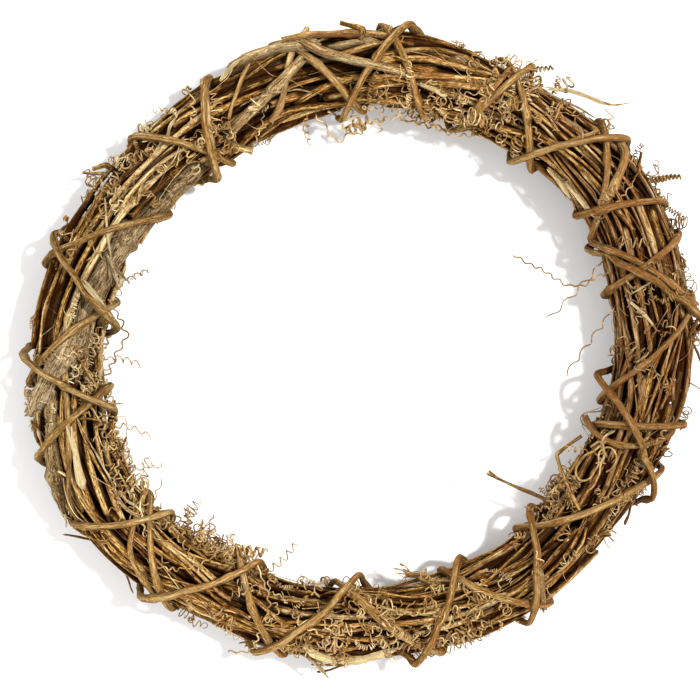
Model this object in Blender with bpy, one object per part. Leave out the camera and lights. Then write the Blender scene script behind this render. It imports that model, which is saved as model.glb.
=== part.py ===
# Grapevine wreath: dried canes laid in a ring, bound by two thin vines wound opposite ways.
# It lies on its back. Clock angles run clockwise from +Y, as on a clock face seen from above.
# Lengths are in millimetres until a mesh is made.

import math

import bpy
import numpy as np

MM = 0.001
CANE_SIDES, STALK_SIDES, TENDRIL_SIDES = 5, 8, 3
SHARP_ANGLE = 80.0

# Ring outline: its inner and outer radius every 30 degrees clockwise from the top
INNER_RADII = (115.5, 118.5, 126.0, 121.0, 117.5, 117.0, 114.0, 118.0, 125.5, 122.5, 114.5, 111.0)
OUTER_RADII = (151.0, 151.5, 157.5, 157.5, 149.5, 147.5, 146.0, 148.5, 157.0, 155.5, 147.0, 146.5)
BUNDLE_HEIGHT = 30.0
BUNDLE_MIDDLE = 22.9  # height of the bundle's middle above the surface it lies on
RING_CENTRE = (-1.3, -2.3)

# Canes: layers of tracks round the bundle's section. Reach is a track's share of the half width.
STATIONS = 36  # sections round the ring, 10 degrees apart
CANE_GAP = 0.5
CANE_RADII = (1.9, 3.0)
TAPER = 0.28  # share of its thickness that a cane loses from butt to tip
LAYERS = (
    {"canes": 1, "reach": 0.0, "swing": 0.0, "phase": 0.0},
    {"canes": 7, "reach": 0.46, "swing": 80.0, "phase": 200.0},
    {"canes": 14, "reach": 0.9, "swing": 68.0, "phase": 30.0},
)
PAIRED_TRACKS = (2, 5, 8, 11, 14, 17)  # tracks that hold two half-length canes
HALF_LENGTHS = (15, 24)  # sections that the first of the two spans
WANDER = 5.0  # how far a cane strays from its track
CANE_SEED = 11
CANE_HOLD, GUIDED_HOLD, SHOOT_HOLD = 0.03, 0.5, 0.25  # how firmly each kind keeps to its place
SETTLING_PASSES = 1100
HOLD_UNTIL, SMOOTH_UNTIL = 0.75, 0.85  # shares of the passes after which these two stop
SMOOTHING = 0.3

# Thick pieces whose place on top of the bundle is set: clock angle, distance out from the
# section's middle, and radius
GUIDED = {
    "old_stalk": (
        (250, 10.0, 6.2), (270, -2.5, 7.2), (290, -8.5, 6.4), (310, -10.5, 5.4), (320, -12.5, 4.2),
    ),
    "gnarled_cane": ((200, 7.0, 2.4), (220, 11.5, 3.2), (240, 12.5, 4.2)),
    "butt_cane": ((300, 7.0, 2.6), (320, 12.5, 3.4), (330, 13.5, 3.7)),
    "forked_cane": ((340, 13.0, 3.3), (350, 10.0, 3.4), (370, 1.5, 3.0), (400, 1.0, 2.5)),
}
ROOM_FOR_STALK = 6  # tracks whose cane ends before the old stalk and starts after it

# Binding vines: the clock angles where each one passes the ring's outer and inner edge
BINDER_RADIUS = 1.9
BINDER_CLEAR = 1.05  # between the canes' outline and the vine
BINDER_STEPS = 18  # sections in one wrap
BINDER_ROUNDING = 0.4  # 0 crosses the ring in a straight line seen from above, 1 in a plain helix
CROSSING_GAP = 0.6
LIFT_FULL = 8.0  # distance from the first vine within which the second is fully lifted over it
LIFT_ENDS = 15.0
VINE_A_OUTER = (
    -16.4, 3.5, 26, 46.5, 70, 80.5, 103, 111.5, 143, 164.5, 194, 216, 251, 264, 285, 312.5,
)
VINE_A_INNER = (
    1.0, 16.5, 44, 64.5, 77.5, 101.5, 108, 139, 160, 186, 211, 235.5, 261.5, 280.5, 305, 325.5,
)
VINE_B_INNER = (-5.5, 24, 38, 58, 66.5, 95.5, 132.5, 154, 179.5, 204, 228.5, 255, 274, 319.5)
VINE_B_OUTER = (10, 32, 53, 64.5, 87, 118, 149.5, 171, 200.5, 222.5, 239, 270.5, 291.5, 331)
LOOSE_WRAPS = (109.7, 162.3)  # where the first vine hangs down to the surface under the bundle
HANG_SPAN = 3.0

# Side shoots with tendrils: clock angle of the middle, angle round the section (0 outermost,
# 90 on top, 180 innermost), tendrils, and the length that each tendril reaches
SHOOTS = {
    "tendril_shoot_01": (357, 160, 3, 22),
    "tendril_shoot_02": (22, 118, 3, 18),
    "tendril_shoot_03": (33, 40, 3, 14),
    "tendril_shoot_04": (60, 10, 2, 20),
    "tendril_shoot_05": (74, 165, 2, 46),
    "tendril_shoot_06": (90, 20, 2, 12),
    "tendril_shoot_07": (122, 150, 4, 24),
    "tendril_shoot_08": (158, 60, 3, 16),
    "tendril_shoot_09": (177, 100, 3, 18),
    "tendril_shoot_10": (213, 160, 4, 30),
    "tendril_shoot_11": (248, 165, 3, 20),
    "tendril_shoot_12": (272, 170, 2, 24),
    "tendril_shoot_13": (314, 60, 3, 16),
}
SHOOT_STATIONS = 4
SHOOT_RADIUS = 1.5
SHOOT_REACH = 0.9  # share of the bundle's half width at which a side shoot lies
TENDRIL_RADIUS = 0.6
TENDRIL_GAP = 0.4
COIL_RADII = (1.6, 2.8)
COIL_PITCHES = (3.6, 5.0)
COIL_LEADS = (3.0, 6.0)  # straight start of a tendril before it coils
STRETCHED_FROM = 40.0  # a tendril longer than this is pulled out into a loose coil
COIL_STEPS = 5  # sections in one turn of a tendril
TENDRIL_TRIES = 600
OUTWARD_SHARES = (0.35, 1.0)  # how much a tendril leans away from the bundle
STRAY_SHARE = 0.3
LENGTH_SHARES = (0.7, 1.15)
TENDRIL_HEIGHTS = (4.0, 50.0)  # lowest and highest that a tendril reaches
ROOT_REACH = 4.0  # distance from its root within which a tendril may touch its own shoot
TENDRIL_SEED = 5
SEARCH_REACH = 12.0

# Stubs of side growth that stand off a cane: radius, then clock angle, distance from the
# ring's middle and height of each point, with the root first
STUBS = (
    (1.7, ((129.5, 112.0, 32.0), (131.5, 99.0, 33.0), (134.0, 84.5, 30.0))),
    (1.5, ((124.0, 113.0, 33.0), (118.5, 105.5, 34.0), (111.5, 113.0, 30.0))),
    (1.6, ((163.5, 112.5, 30.0), (168.5, 109.5, 29.0))),
    (2.0, ((328.0, 113.0, 33.0), (331.5, 107.0, 32.0))),
    (1.4, ((306.0, 149.0, 31.0), (304.0, 153.0, 31.0))),
    (1.6, ((360.5, 151.5, 34.0), (356.5, 155.0, 34.0))),
)


def around(values, theta):
    """A smooth closed curve through values spaced evenly round the ring, read at theta degrees."""
    values = np.asarray(values, float)
    place = np.asarray(theta, float) / 360 * len(values)
    whole = np.floor(place).astype(int)
    t = place - whole
    a, b, c, d = (values[(whole + k) % len(values)] for k in (-1, 0, 1, 2))
    return b + 0.5 * t * (c - a + t * (2 * a - 5 * b + 4 * c - d + t * (3 * (b - c) + d - a)))


def middle_radius(theta):
    return (around(INNER_RADII, theta) + around(OUTER_RADII, theta)) / 2


def half_width(theta):
    return (around(OUTER_RADII, theta) - around(INNER_RADII, theta)) / 2


def to_space(theta, out, up):
    """Points from a clock angle, a distance out from the section's middle and a height over it."""
    theta, out, up = np.broadcast_arrays(*(np.asarray(x, float) for x in (theta, out, up)))
    radius = middle_radius(theta) + out
    turn = np.radians(theta)
    x = RING_CENTRE[0] + radius * np.sin(turn)
    y = RING_CENTRE[1] + radius * np.cos(turn)
    return np.stack([x, y, BUNDLE_MIDDLE + up], axis=-1)


def on_outline(theta, turn, share):
    """Place in the section at an angle round it, at a share of its half width and half height."""
    turn = np.radians(turn)
    out = share * half_width(theta) * np.cos(turn)
    return np.stack(np.broadcast_arrays(out, share * BUNDLE_HEIGHT / 2 * np.sin(turn)), axis=-1)


def section_angles():
    return np.arange(STATIONS) * 360 / STATIONS


def cane_tracks():
    """Each track's place at every section: its slot in a layer that sways round the section."""
    theta = section_angles()
    tracks = []
    for layer in LAYERS:
        for slot in range(layer["canes"]):
            sway = layer["swing"] * np.sin(np.radians(theta + layer["phase"]))
            tracks.append(on_outline(theta, 360 * slot / layer["canes"] + sway, layer["reach"]))
    return np.array(tracks)


def guided_pieces():
    """Name, first section, place and radius of the thick pieces that lie on top of the bundle."""
    step = 360 / STATIONS
    found = []
    for name, keys in GUIDED.items():
        angle, out, radius = (np.array(column, float) for column in zip(*keys))
        theta = np.arange(angle[0], angle[-1] + step / 2, step)
        thick = np.interp(theta, angle, radius)
        place = np.interp(theta, angle, out)
        room = half_width(theta) - thick
        up = (BUNDLE_HEIGHT / 2 - thick) * np.sqrt(np.maximum(0, 1 - (place / room) ** 2))
        found.append((name, round(angle[0] / step), np.stack([place, up], axis=-1), thick))
    return found


def plan_pieces():
    """Rows of name, first section, place at each of its sections, radius, and how firmly held."""
    draw = np.random.default_rng(CANE_SEED)
    guided = guided_pieces()
    tracks = cane_tracks()
    theta = section_angles()
    for track in tracks:
        for waves in (2, 4, 7):
            phase, size = draw.uniform(0, 2 * math.pi, 2), draw.normal(size=2) / math.sqrt(waves)
            track += WANDER * size * np.sin(np.radians(waves * theta)[:, None] + phase)
    name, first, stalk_place, _ = guided[0]
    middle = len(stalk_place) // 2
    off_stalk = np.linalg.norm(tracks[:, first + middle] - stalk_place[middle], axis=-1)
    crowded = np.argsort(off_stalk)[:ROOM_FOR_STALK]
    spans = []
    for number in range(len(tracks)):
        start = int(draw.integers(0, STATIONS))
        if number in crowded:
            start = first + len(stalk_place) - 3 + int(draw.integers(0, 3))
            spans.append((number, start, STATIONS - len(stalk_place) + 2))
        elif number in PAIRED_TRACKS:
            half = int(draw.integers(*HALF_LENGTHS))
            spans.append((number, start, half))
            spans.append((number, start + half + 1, STATIONS - half - 2))
        else:
            spans.append((number, start, STATIONS - 1))
    rows = []
    for n, (number, start, count) in enumerate(spans):
        radius = draw.uniform(*CANE_RADII) * np.linspace(1, 1 - TAPER, count)
        place = tracks[number, np.arange(start, start + count) % STATIONS]
        rows.append((f"cane_{n + 1:02d}", start, place, radius, CANE_HOLD))
    for name, first, place, radius in guided:
        rows.append((name, first, place, radius, GUIDED_HOLD))
    for name, (angle, turn, _, _) in SHOOTS.items():
        first = round(angle * STATIONS / 360 - (SHOOT_STATIONS - 1) / 2)
        at = np.arange(first, first + SHOOT_STATIONS) * 360 / STATIONS
        place = on_outline(at, np.full(SHOOT_STATIONS, turn), SHOOT_REACH)
        radius = np.linspace(1.15, 0.85, SHOOT_STATIONS) * SHOOT_RADIUS
        rows.append((name, first, place, radius, SHOOT_HOLD))
    return rows


def pack_pieces(rows):
    """Settles every piece in the bundle's section so that none overlaps another.

    Each pass draws a piece towards its track, smooths it along its length, pushes it off its
    neighbours at each section and twice between sections, and holds it inside the outline.
    """
    theta = section_angles()
    size = (STATIONS, len(rows))
    here, radius = np.zeros(size, bool), np.zeros(size)
    goal = np.zeros((*size, 2))
    for i, (_, first, place, thick, _) in enumerate(rows):
        at = np.arange(first, first + len(thick)) % STATIONS
        here[at, i], radius[at, i], goal[at, i] = True, thick, place
    pull = np.array([row[4] for row in rows])
    loose = 1 / (1 + 12 * pull)
    share = loose[None, :, None] / (loose[None, :, None] + loose[None, None, :])
    ahead = here & np.roll(here, -1, 0)
    inside = (ahead & np.roll(here, 1, 0))[..., None]
    apart_wanted, between = [], (0.0, 1 / 3, 2 / 3)
    for t in between:
        on = here if t == 0 else ahead
        mixed = radius + t * (np.roll(radius, -1, 0) - radius)
        pair = on[:, :, None] & on[:, None, :] & ~np.eye(len(rows), dtype=bool)
        apart_wanted.append(np.where(pair, mixed[:, :, None] + mixed[:, None, :] + CANE_GAP, 0))
    room = np.stack([half_width(theta)[:, None] - radius, BUNDLE_HEIGHT / 2 - radius], axis=-1)
    place = goal.copy()
    for step in range(SETTLING_PASSES):
        settle = step / SETTLING_PASSES
        if settle < HOLD_UNTIL:
            place += pull[None, :, None] * (goal - place)
        if settle < SMOOTH_UNTIL:
            smooth = (np.roll(place, 1, 0) + np.roll(place, -1, 0)) / 2 - place
            place += np.where(inside, SMOOTHING * smooth, 0)
        for t, wanted in zip(between, apart_wanted):
            mixed = place + t * (np.roll(place, -1, 0) - place)
            apart = mixed[:, :, None] - mixed[:, None, :]
            distance = np.linalg.norm(apart, axis=-1) + 1e-9
            push = np.maximum(0, wanted * min(1, 0.5 + settle) - distance) * share
            move = 0.5 * (apart * (push / distance)[..., None]).sum(2)
            place += (1 - t) * move
            if t:
                place += t * np.roll(move, 1, 0)
        over = np.linalg.norm(place / room, axis=-1, keepdims=True)
        place /= np.maximum(over, 1)
    laid = {}
    for i, (name, first, _, thick, _) in enumerate(rows):
        at = np.arange(first, first + len(thick))
        settled = place[at % STATIONS, i]
        laid[name] = (to_space(at * 360 / STATIONS, settled[:, 0], settled[:, 1]), thick)
    return laid


def wrap_path(edges, over_from_outside):
    """A binding vine's clock angles and its angles round the section."""
    steps = BINDER_STEPS // 2
    theta, turn = [], []
    for k, (a, b) in enumerate(zip(edges, edges[1:])):
        bend = math.pi * np.arange(steps) / steps
        across = BINDER_ROUNDING * bend / math.pi + (1 - BINDER_ROUNDING) * (1 - np.cos(bend)) / 2
        theta.append(a + (b - a) * across)
        turn.append(bend + k * math.pi)
    theta = np.append(np.concatenate(theta), edges[-1])
    turn = np.append(np.concatenate(turn), (len(edges) - 1) * math.pi)
    return theta, turn if over_from_outside else math.pi - turn


def off_outline(theta, turn, off):
    """Points at a distance off the bundle's outline, at an angle in radians round its section."""
    out = (half_width(theta) + off) * np.cos(turn)
    return to_space(theta, out, (BUNDLE_HEIGHT / 2 + off) * np.sin(turn))


def binder_paths():
    """Both binding vines. The second one rises over the first wherever they cross."""
    theta_a, turn_a = wrap_path(np.ravel(np.column_stack([VINE_A_OUTER, VINE_A_INNER])), True)
    theta_b, turn_b = wrap_path(np.ravel(np.column_stack([VINE_B_INNER, VINE_B_OUTER])), False)
    off = BINDER_RADIUS + BINDER_CLEAR
    rise = 2 * BINDER_RADIUS + CROSSING_GAP
    aside = np.abs(theta_a[:, None] - LOOSE_WRAPS).min(1)
    hang = np.clip(2 - aside / HANG_SPAN, 0, 1) * np.maximum(0, -np.sin(turn_a)) ** 2
    path_a = off_outline(theta_a, turn_a, off + rise * hang)
    low_b = off_outline(theta_b, turn_b, off)
    fine = np.concatenate([path_a[:-1] + (path_a[1:] - path_a[:-1]) * t for t in (0, 0.25, 0.5, 0.75)])
    nearest = np.linalg.norm(low_b[:, None] - fine[None], axis=-1).min(1)
    ease = np.clip((LIFT_ENDS - nearest) / (LIFT_ENDS - LIFT_FULL), 0, 1)
    lift = rise * ease * ease * (3 - 2 * ease)
    return {"binder_vine_a": path_a, "binder_vine_b": off_outline(theta_b, turn_b, off + lift)}


def spread(path, radii, spacing=1.5):
    """Points along path no further apart than spacing, with the tube's radius at each."""
    radii = np.broadcast_to(radii, len(path))
    pieces = int(np.ceil(np.linalg.norm(np.diff(path, axis=0), axis=1).max() / spacing))
    at = np.linspace(0, len(path) - 1, (len(path) - 1) * pieces + 1)
    knots = np.arange(len(path))
    points = np.stack([np.interp(at, knots, path[:, axis]) for axis in range(3)], axis=-1)
    return np.column_stack([points, np.interp(at, knots, radii)])


def room_round(tube, others):
    """The least gap between a tube and other tubes, all as rows of point and radius."""
    low, high = tube[:, :3].min(0) - SEARCH_REACH, tube[:, :3].max(0) + SEARCH_REACH
    near = others[((others[:, :3] > low) & (others[:, :3] < high)).all(1)]
    if len(near) == 0:
        return SEARCH_REACH
    apart = np.linalg.norm(tube[:, None, :3] - near[None, :, :3], axis=-1)
    return float((apart - tube[:, None, 3] - near[None, :, 3]).min())


def room_in_coil(tube, skip=6):
    """The least gap between a tube's points that lie more than skip points apart along it."""
    apart = np.linalg.norm(tube[:, None, :3] - tube[None, :, :3], axis=-1) - 2 * tube[0, 3]
    index = np.arange(len(tube))
    far = np.abs(index[:, None] - index[None, :]) > skip
    return float(apart[far].min())


def tendril_path(root, along, length, draw):
    """A springy curl: a short straight lead, then a coil that opens and closes round a bent axis."""
    coil = draw.uniform(*COIL_RADII)
    pitch = draw.uniform(*COIL_PITCHES)
    if length > STRETCHED_FROM:
        coil, pitch = 0.7 * coil, 2.2 * pitch
    lead = draw.uniform(*COIL_LEADS)
    turns = (length - lead) / pitch
    count = int(round(turns * COIL_STEPS)) + 1
    s = np.linspace(0, 1, count)
    along = along / np.linalg.norm(along)
    bend = np.cross(along, draw.normal(size=3))
    bend /= np.linalg.norm(bend)
    third = np.cross(along, bend)
    axis = lead + s * (length - lead)
    size = coil * np.minimum(1, 4 * s) * (1 - 0.35 * s)
    phase = draw.choice([-1, 1]) * 2 * math.pi * turns * s + draw.uniform(0, 2 * math.pi)
    path = root + np.outer(axis, along) + np.outer(draw.uniform(0.1, 0.45) * length * s * s, bend)
    path = path + np.outer(size * np.cos(phase), bend) + np.outer(size * np.sin(phase), third)
    return np.vstack([root, path])


def grow_tendrils(laid, stubs):
    """Tendrils for every shoot. Each is drawn again until it is clear of all the other pieces."""
    draw = np.random.default_rng(TENDRIL_SEED)
    tubes = {name: spread(path, radius) for name, (path, radius) in laid.items()}
    for host, path, radius in stubs:
        tubes[host] = np.vstack([tubes[host], spread(path, radius)])
    grown = {}
    for name, (_, turn, count, length) in SHOOTS.items():
        path, radius = laid[name]
        own = tubes[name]
        others = np.vstack([tube for other, tube in tubes.items() if other != name])
        grown[name] = []
        for number in range(count):
            for _ in range(TENDRIL_TRIES):
                place = (number + draw.uniform(0.2, 0.8)) / count * (len(path) - 1)
                index = int(place)
                root = path[index] + (place - index) * (path[index + 1] - path[index])
                forward = path[index + 1] - path[index]
                forward /= np.linalg.norm(forward)
                outward = np.array([root[0], root[1], 0.0]) / math.hypot(root[0], root[1])
                away = math.cos(math.radians(turn)) * outward
                away[2] = math.sin(math.radians(turn))
                along = away * draw.uniform(*OUTWARD_SHARES) + forward * draw.uniform(-1, 1)
                along += STRAY_SHARE * draw.normal(size=3)
                curl = tendril_path(root, along, length * draw.uniform(*LENGTH_SHARES), draw)
                tube = spread(curl, TENDRIL_RADIUS, 0.8)
                leaving = np.linalg.norm(tube[:, :3] - root, axis=1) > ROOT_REACH
                clear = room_round(tube, others) > TENDRIL_GAP
                clear = clear and room_round(tube[leaving], own) > TENDRIL_GAP
                clear = clear and room_in_coil(tube) > TENDRIL_GAP
                low, high = tube[:, 2].min(), tube[:, 2].max()
                if clear and low > TENDRIL_HEIGHTS[0] and high < TENDRIL_HEIGHTS[1]:
                    grown[name].append(curl)
                    others = np.vstack([others, tube[leaving]])
                    tubes[name] = np.vstack([tubes[name], tube])
                    break
            else:
                print("no room for a tendril on", name)
    return grown


def grow_stubs(laid):
    """Stubs of side growth, each rooted in the nearest cane that leaves its way out clear."""
    tubes = {name: spread(path, radius) for name, (path, radius) in laid.items()}
    grown = []
    for radius, keys in STUBS:
        theta, reach, height = (np.array(column) for column in zip(*keys))
        turn = np.radians(theta)
        way = np.stack([reach * np.sin(turn), reach * np.cos(turn), height], axis=-1)
        way += (*RING_CENTRE, 0.0)
        hosts = [name for name in laid if name.startswith("cane") or name in GUIDED]
        hosts.sort(key=lambda name: np.linalg.norm(tubes[name][:, :3] - way[0], axis=1).min())
        for host in hosts[:8]:
            root = tubes[host][np.linalg.norm(tubes[host][:, :3] - way[0], axis=1).argmin(), :3]
            path = np.vstack([root, way])
            thick = radius * np.linspace(1.1, 0.85, len(path))
            others = np.vstack([tube for name, tube in tubes.items() if name != host])
            if room_round(spread(path, thick, 0.8), others) > TENDRIL_GAP:
                grown.append((host, path, thick))
                break
        else:
            print("no room for the stub at", keys[0])
    return grown


def tube_mesh(name, path, radii, sides, facing=None):
    """A closed tube along path: a ring of vertices for each point, and a flat cap at each end.

    Facing is the direction of each ring's first vertex, where it matters.
    """
    runs = np.diff(path, axis=0)
    runs /= np.linalg.norm(runs, axis=1, keepdims=True)
    tangent = np.vstack([runs[:1], runs[:-1] + runs[1:], runs[-1:]])
    tangent /= np.linalg.norm(tangent, axis=1, keepdims=True)
    side = np.cross(tangent[0], (0.0, 0.0, 1.0))
    if np.linalg.norm(side) < 0.1:
        side = np.cross(tangent[0], (1.0, 0.0, 0.0))
    turn = 2 * math.pi * np.arange(sides) / sides
    rings = []
    for i, (point, along, radius) in enumerate(zip(path, tangent, np.broadcast_to(radii, len(path)))):
        side = side if facing is None else facing[i]
        side = side - along * side.dot(along)
        side /= np.linalg.norm(side)
        other = np.cross(along, side)
        rings.append(point + radius * (np.outer(np.cos(turn), side) + np.outer(np.sin(turn), other)))
    last = len(path) - 1
    faces = [tuple(range(sides))[::-1], tuple(last * sides + j for j in range(sides))]
    for i in range(last):
        for j in range(sides):
            a, b = i * sides + j, i * sides + (j + 1) % sides
            faces.append((a, b, b + sides, a + sides))
    mesh = bpy.data.meshes.new(name)
    mesh.from_pydata((np.concatenate(rings) * MM).tolist(), [], faces)
    return mesh


def add_object(name, mesh, material):
    obj = bpy.data.objects.new(name, mesh)
    bpy.context.scene.collection.objects.link(obj)
    obj.data.materials.append(material)
    return obj


def shade(mesh):
    """Smooth round the tubes, sharp at their cut ends."""
    mesh.shade_smooth()
    mesh.set_sharp_from_angle(angle=math.radians(SHARP_ANGLE))


def wood(name, colour, roughness):
    material = bpy.data.materials.new(name)
    material.use_nodes = True
    shader = material.node_tree.nodes["Principled BSDF"]
    shader.inputs["Base Color"].default_value = (*colour, 1)
    shader.inputs["Roughness"].default_value = roughness
    shader.inputs["Metallic"].default_value = 0
    return material


def binder_mesh(name, path):
    """A vine whose flat side faces away from the bundle, worn flat where it meets the surface."""
    middle = path - (*RING_CENTRE, BUNDLE_MIDDLE)
    outward = middle * (1, 1, 0) / np.hypot(middle[:, 0], middle[:, 1])[:, None]
    theta = np.degrees(np.arctan2(outward[:, 0], outward[:, 1]))
    inward = outward * middle_radius(theta)[:, None] - middle
    mesh = tube_mesh(name, path, BINDER_RADIUS, CANE_SIDES, inward)
    for vertex in mesh.vertices:
        vertex.co.z = max(vertex.co.z, 0.0)
    return mesh


def fuse(obj, meshes):
    """Joins side growth to the piece that it grows from."""
    growth = bpy.data.collections.new("growth")
    bpy.context.scene.collection.children.link(growth)
    for mesh in meshes:
        growth.objects.link(bpy.data.objects.new(mesh.name, mesh))
    union = obj.modifiers.new("growth", "BOOLEAN")
    union.operation = "UNION"
    union.solver = "MANIFOLD"
    union.operand_type = "COLLECTION"
    union.collection = growth
    bpy.context.view_layer.update()
    seen = obj.evaluated_get(bpy.context.evaluated_depsgraph_get())
    joined = bpy.data.meshes.new_from_object(seen)
    obj.modifiers.clear()
    obj.data = joined
    for part in list(growth.objects):
        bpy.data.objects.remove(part)
    bpy.data.collections.remove(growth)


def build():
    for obj in list(bpy.data.objects):
        bpy.data.objects.remove(obj)
    cane_bark = wood("cane bark", (0.30, 0.19, 0.09), 0.8)
    old_bark = wood("old bark", (0.27, 0.19, 0.12), 0.9)
    binder_bark = wood("binder bark", (0.33, 0.20, 0.09), 0.75)
    laid = pack_pieces(plan_pieces())
    for name, path in binder_paths().items():
        laid[name] = (path, np.full(len(path), BINDER_RADIUS))
    growth = {name: [] for name in laid}
    stubs = grow_stubs(laid)
    for host, path, radius in stubs:
        growth[host].append(tube_mesh("stub", path, radius, CANE_SIDES))
    for name, curls in grow_tendrils(laid, stubs).items():
        for curl in curls:
            growth[name].append(tube_mesh("tendril", curl, TENDRIL_RADIUS, TENDRIL_SIDES))
    for name, (path, radius) in laid.items():
        if name.startswith("binder"):
            shade(add_object(name, binder_mesh(name, path), binder_bark).data)
            continue
        sides = STALK_SIDES if name == "old_stalk" else CANE_SIDES
        bark = old_bark if name in GUIDED else cane_bark
        obj = add_object(name, tube_mesh(name, path, radius, sides), bark)
        if growth[name]:
            fuse(obj, growth[name])
        shade(obj.data)


build()
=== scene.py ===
import math

import bpy
import numpy as np
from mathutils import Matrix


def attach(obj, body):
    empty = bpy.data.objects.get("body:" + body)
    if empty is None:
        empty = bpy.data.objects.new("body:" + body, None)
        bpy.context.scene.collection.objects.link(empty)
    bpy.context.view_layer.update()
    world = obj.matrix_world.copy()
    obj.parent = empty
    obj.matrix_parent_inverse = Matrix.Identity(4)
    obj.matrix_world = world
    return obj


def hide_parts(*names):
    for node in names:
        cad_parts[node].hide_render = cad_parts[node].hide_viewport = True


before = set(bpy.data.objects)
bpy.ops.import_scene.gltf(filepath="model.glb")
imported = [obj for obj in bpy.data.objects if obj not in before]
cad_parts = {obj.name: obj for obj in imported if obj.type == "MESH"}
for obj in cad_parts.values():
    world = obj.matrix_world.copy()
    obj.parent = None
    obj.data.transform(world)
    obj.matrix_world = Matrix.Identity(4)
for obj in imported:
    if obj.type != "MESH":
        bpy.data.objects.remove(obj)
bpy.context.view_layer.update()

mm = 0.001
fullTurn = 2 * math.pi
# where a wave may start
anyPhase = (0, 6)

# Outline of the ring, as the solids have it: inner and outer radius every 30 degrees clockwise
# from the top, in millimetres. Clock angles run clockwise from +Y seen from above. Ageing is how
# dark and red the bark is there; below nought, how grey and dull. Samples are how finely the
# solids' courses and the traced lines are read between two of their points.
ring = {
    "centre": (-1.3, -2.3),
    "inner": (115.5, 118.5, 126.0, 121.0, 117.5, 117.0, 114.0, 118.0, 125.5, 122.5, 114.5, 111.0),
    "outer": (151.0, 151.5, 157.5, 157.5, 149.5, 147.5, 146.0, 148.5, 157.0, 155.5, 147.0, 146.5),
    "height": 30.0,
    "middle": 22.9,
    "stations": 36,
    "samples": {"solid": 10, "traced": 16},
    "pressedFlat": 0.6,
    "ageing": (0.0, 0.25, 0.8, 1.2, 0.7, 0.35, 0.2, 0.1, -0.5, -1.0, -0.9, -0.3),
}
# Tubes: size of the smaller rings at an end, how far each is pushed, how ragged that is, the
# steepest start that is measured against the upright, the least length, the fewest points along,
# and the sharpest edge in degrees that is still shaded smooth
tubes = {
    "caps": (0.03, 0.55, 0.9), "capPush": (0.3, 0.7, 1, 1), "ragged": 2.1, "steep": 0.8, "least": 1e-12,
    "fewest": 4, "smoothUpTo": 62,
}
# What scatters the noise: steps of a sine's angle for x, y, z and the seed, and how steep it is
scatter = {"steps": (127.1, 311.7, 74.7), "seed": 13.37, "steep": 43758.5453}
# What each part of a piece marks its points with, and the meshes to be marked with painted shade at the end
partMarks = ("grain", "cut", "tone")
shadedMeshes = []


def cubic(a, b, c, d, t):
    # a smooth way from b to c, with the slopes that their neighbours a and d give
    return b + 0.5 * t * (c - a + t * (2 * a - 5 * b + 4 * c - d + t * (3 * (b - c) + d - a)))


def around(values, theta):
    # smooth closed curve through values spaced evenly round the ring
    values = np.asarray(values, float)
    at = np.asarray(theta, float) / 360 * len(values)
    whole = np.floor(at).astype(int)
    return cubic(*(values[(whole + k) % len(values)] for k in (-1, 0, 1, 2)), at - whole)


def curveThrough(values, at):
    # smooth open curve through rows of values, read at fractional row numbers
    values = np.asarray(values, float)
    rows = np.concatenate([2 * values[:1] - values[1:2], values, 2 * values[-1:] - values[-2:-1]])
    whole = np.clip(np.floor(at).astype(int), 0, len(values) - 2)
    return cubic(*(rows[whole + k] for k in range(4)), (at - whole)[:, None])


def middleRadius(theta):
    # half way between the ring's two edges
    return (around(ring["inner"], theta) + around(ring["outer"], theta)) / 2


def halfWidth(theta):
    # half the way from one edge to the other
    return (around(ring["outer"], theta) - around(ring["inner"], theta)) / 2


def flatSpot(theta, reach):
    # clock angle and distance from the ring's middle to x and y
    turn = np.radians(theta)
    return ring["centre"][0] + reach * np.sin(turn), ring["centre"][1] + reach * np.cos(turn)


def toSpace(theta, out, up):
    # clock angle, distance out from the section's middle and height over it, to x, y and z
    theta, out, up = np.broadcast_arrays(*(np.asarray(v, float) for v in (theta, out, up)))
    return np.stack([*flatSpot(theta, middleRadius(theta) + out), ring["middle"] + up], axis=-1)


def toSection(points):
    # x, y and z to clock angle, distance out from the section's middle and height over it
    x, y = points[..., 0] - ring["centre"][0], points[..., 1] - ring["centre"][1]
    theta = np.degrees(np.arctan2(x, y)) % 360
    return theta, np.hypot(x, y) - middleRadius(theta), points[..., 2] - ring["middle"]


def lengthAlong(path):
    # the steps' lengths summed up to each point
    return np.append(0, np.cumsum(np.linalg.norm(np.diff(path, axis=0), axis=1)))


def readAt(at, known, rows):
    # rows of values, known at some places, read at others on straight lines between them
    return np.stack([np.interp(at, known, column) for column in np.transpose(rows)], axis=-1)


def evenly(rows, spacing):
    # rows of point and other values, read again at even steps of length along the points
    s = lengthAlong(rows[:, :3])
    count = max(tubes["fewest"], int(round(s[-1] / spacing)) + 1)
    return readAt(np.linspace(0, s[-1], count), s, rows)


def tube(path, radius):
    # rows of point and thickness, of one thickness or one that is given for each point
    return np.column_stack([path, np.broadcast_to(radius, len(path))])


def eased(t):
    # 0 up to 0, 1 from 1 on, and 3 t squared less 2 t cubed between them
    t = np.clip(t, 0, 1)
    return t * t * (3 - 2 * t)


def turnsRound(sides):
    # a full turn in even steps
    return fullTurn * np.arange(sides) / sides


def ellipse(angle, wide, high):
    # how far an ellipse reaches at an angle, by its two half widths
    return 1 / np.sqrt((np.cos(angle) / wide) ** 2 + (np.sin(angle) / high) ** 2)


def softNoise(points, seed):
    # random values at whole coordinates, blended with a cubic ease between the eight corners
    cell = np.floor(points)
    f = eased(points - cell)
    stepX, stepY, stepZ = scatter["steps"]
    total = 0
    for corner in np.ndindex(2, 2, 2):
        x, y, z = np.moveaxis(cell + corner, -1, 0)
        value = np.sin(x * stepX + y * stepY + z * stepZ + seed * scatter["seed"]) * scatter["steep"] % 1
        total = total + value * np.prod(np.where(np.array(corner) == 1, f, 1 - f), axis=-1)
    return total * 2 - 1


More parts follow.
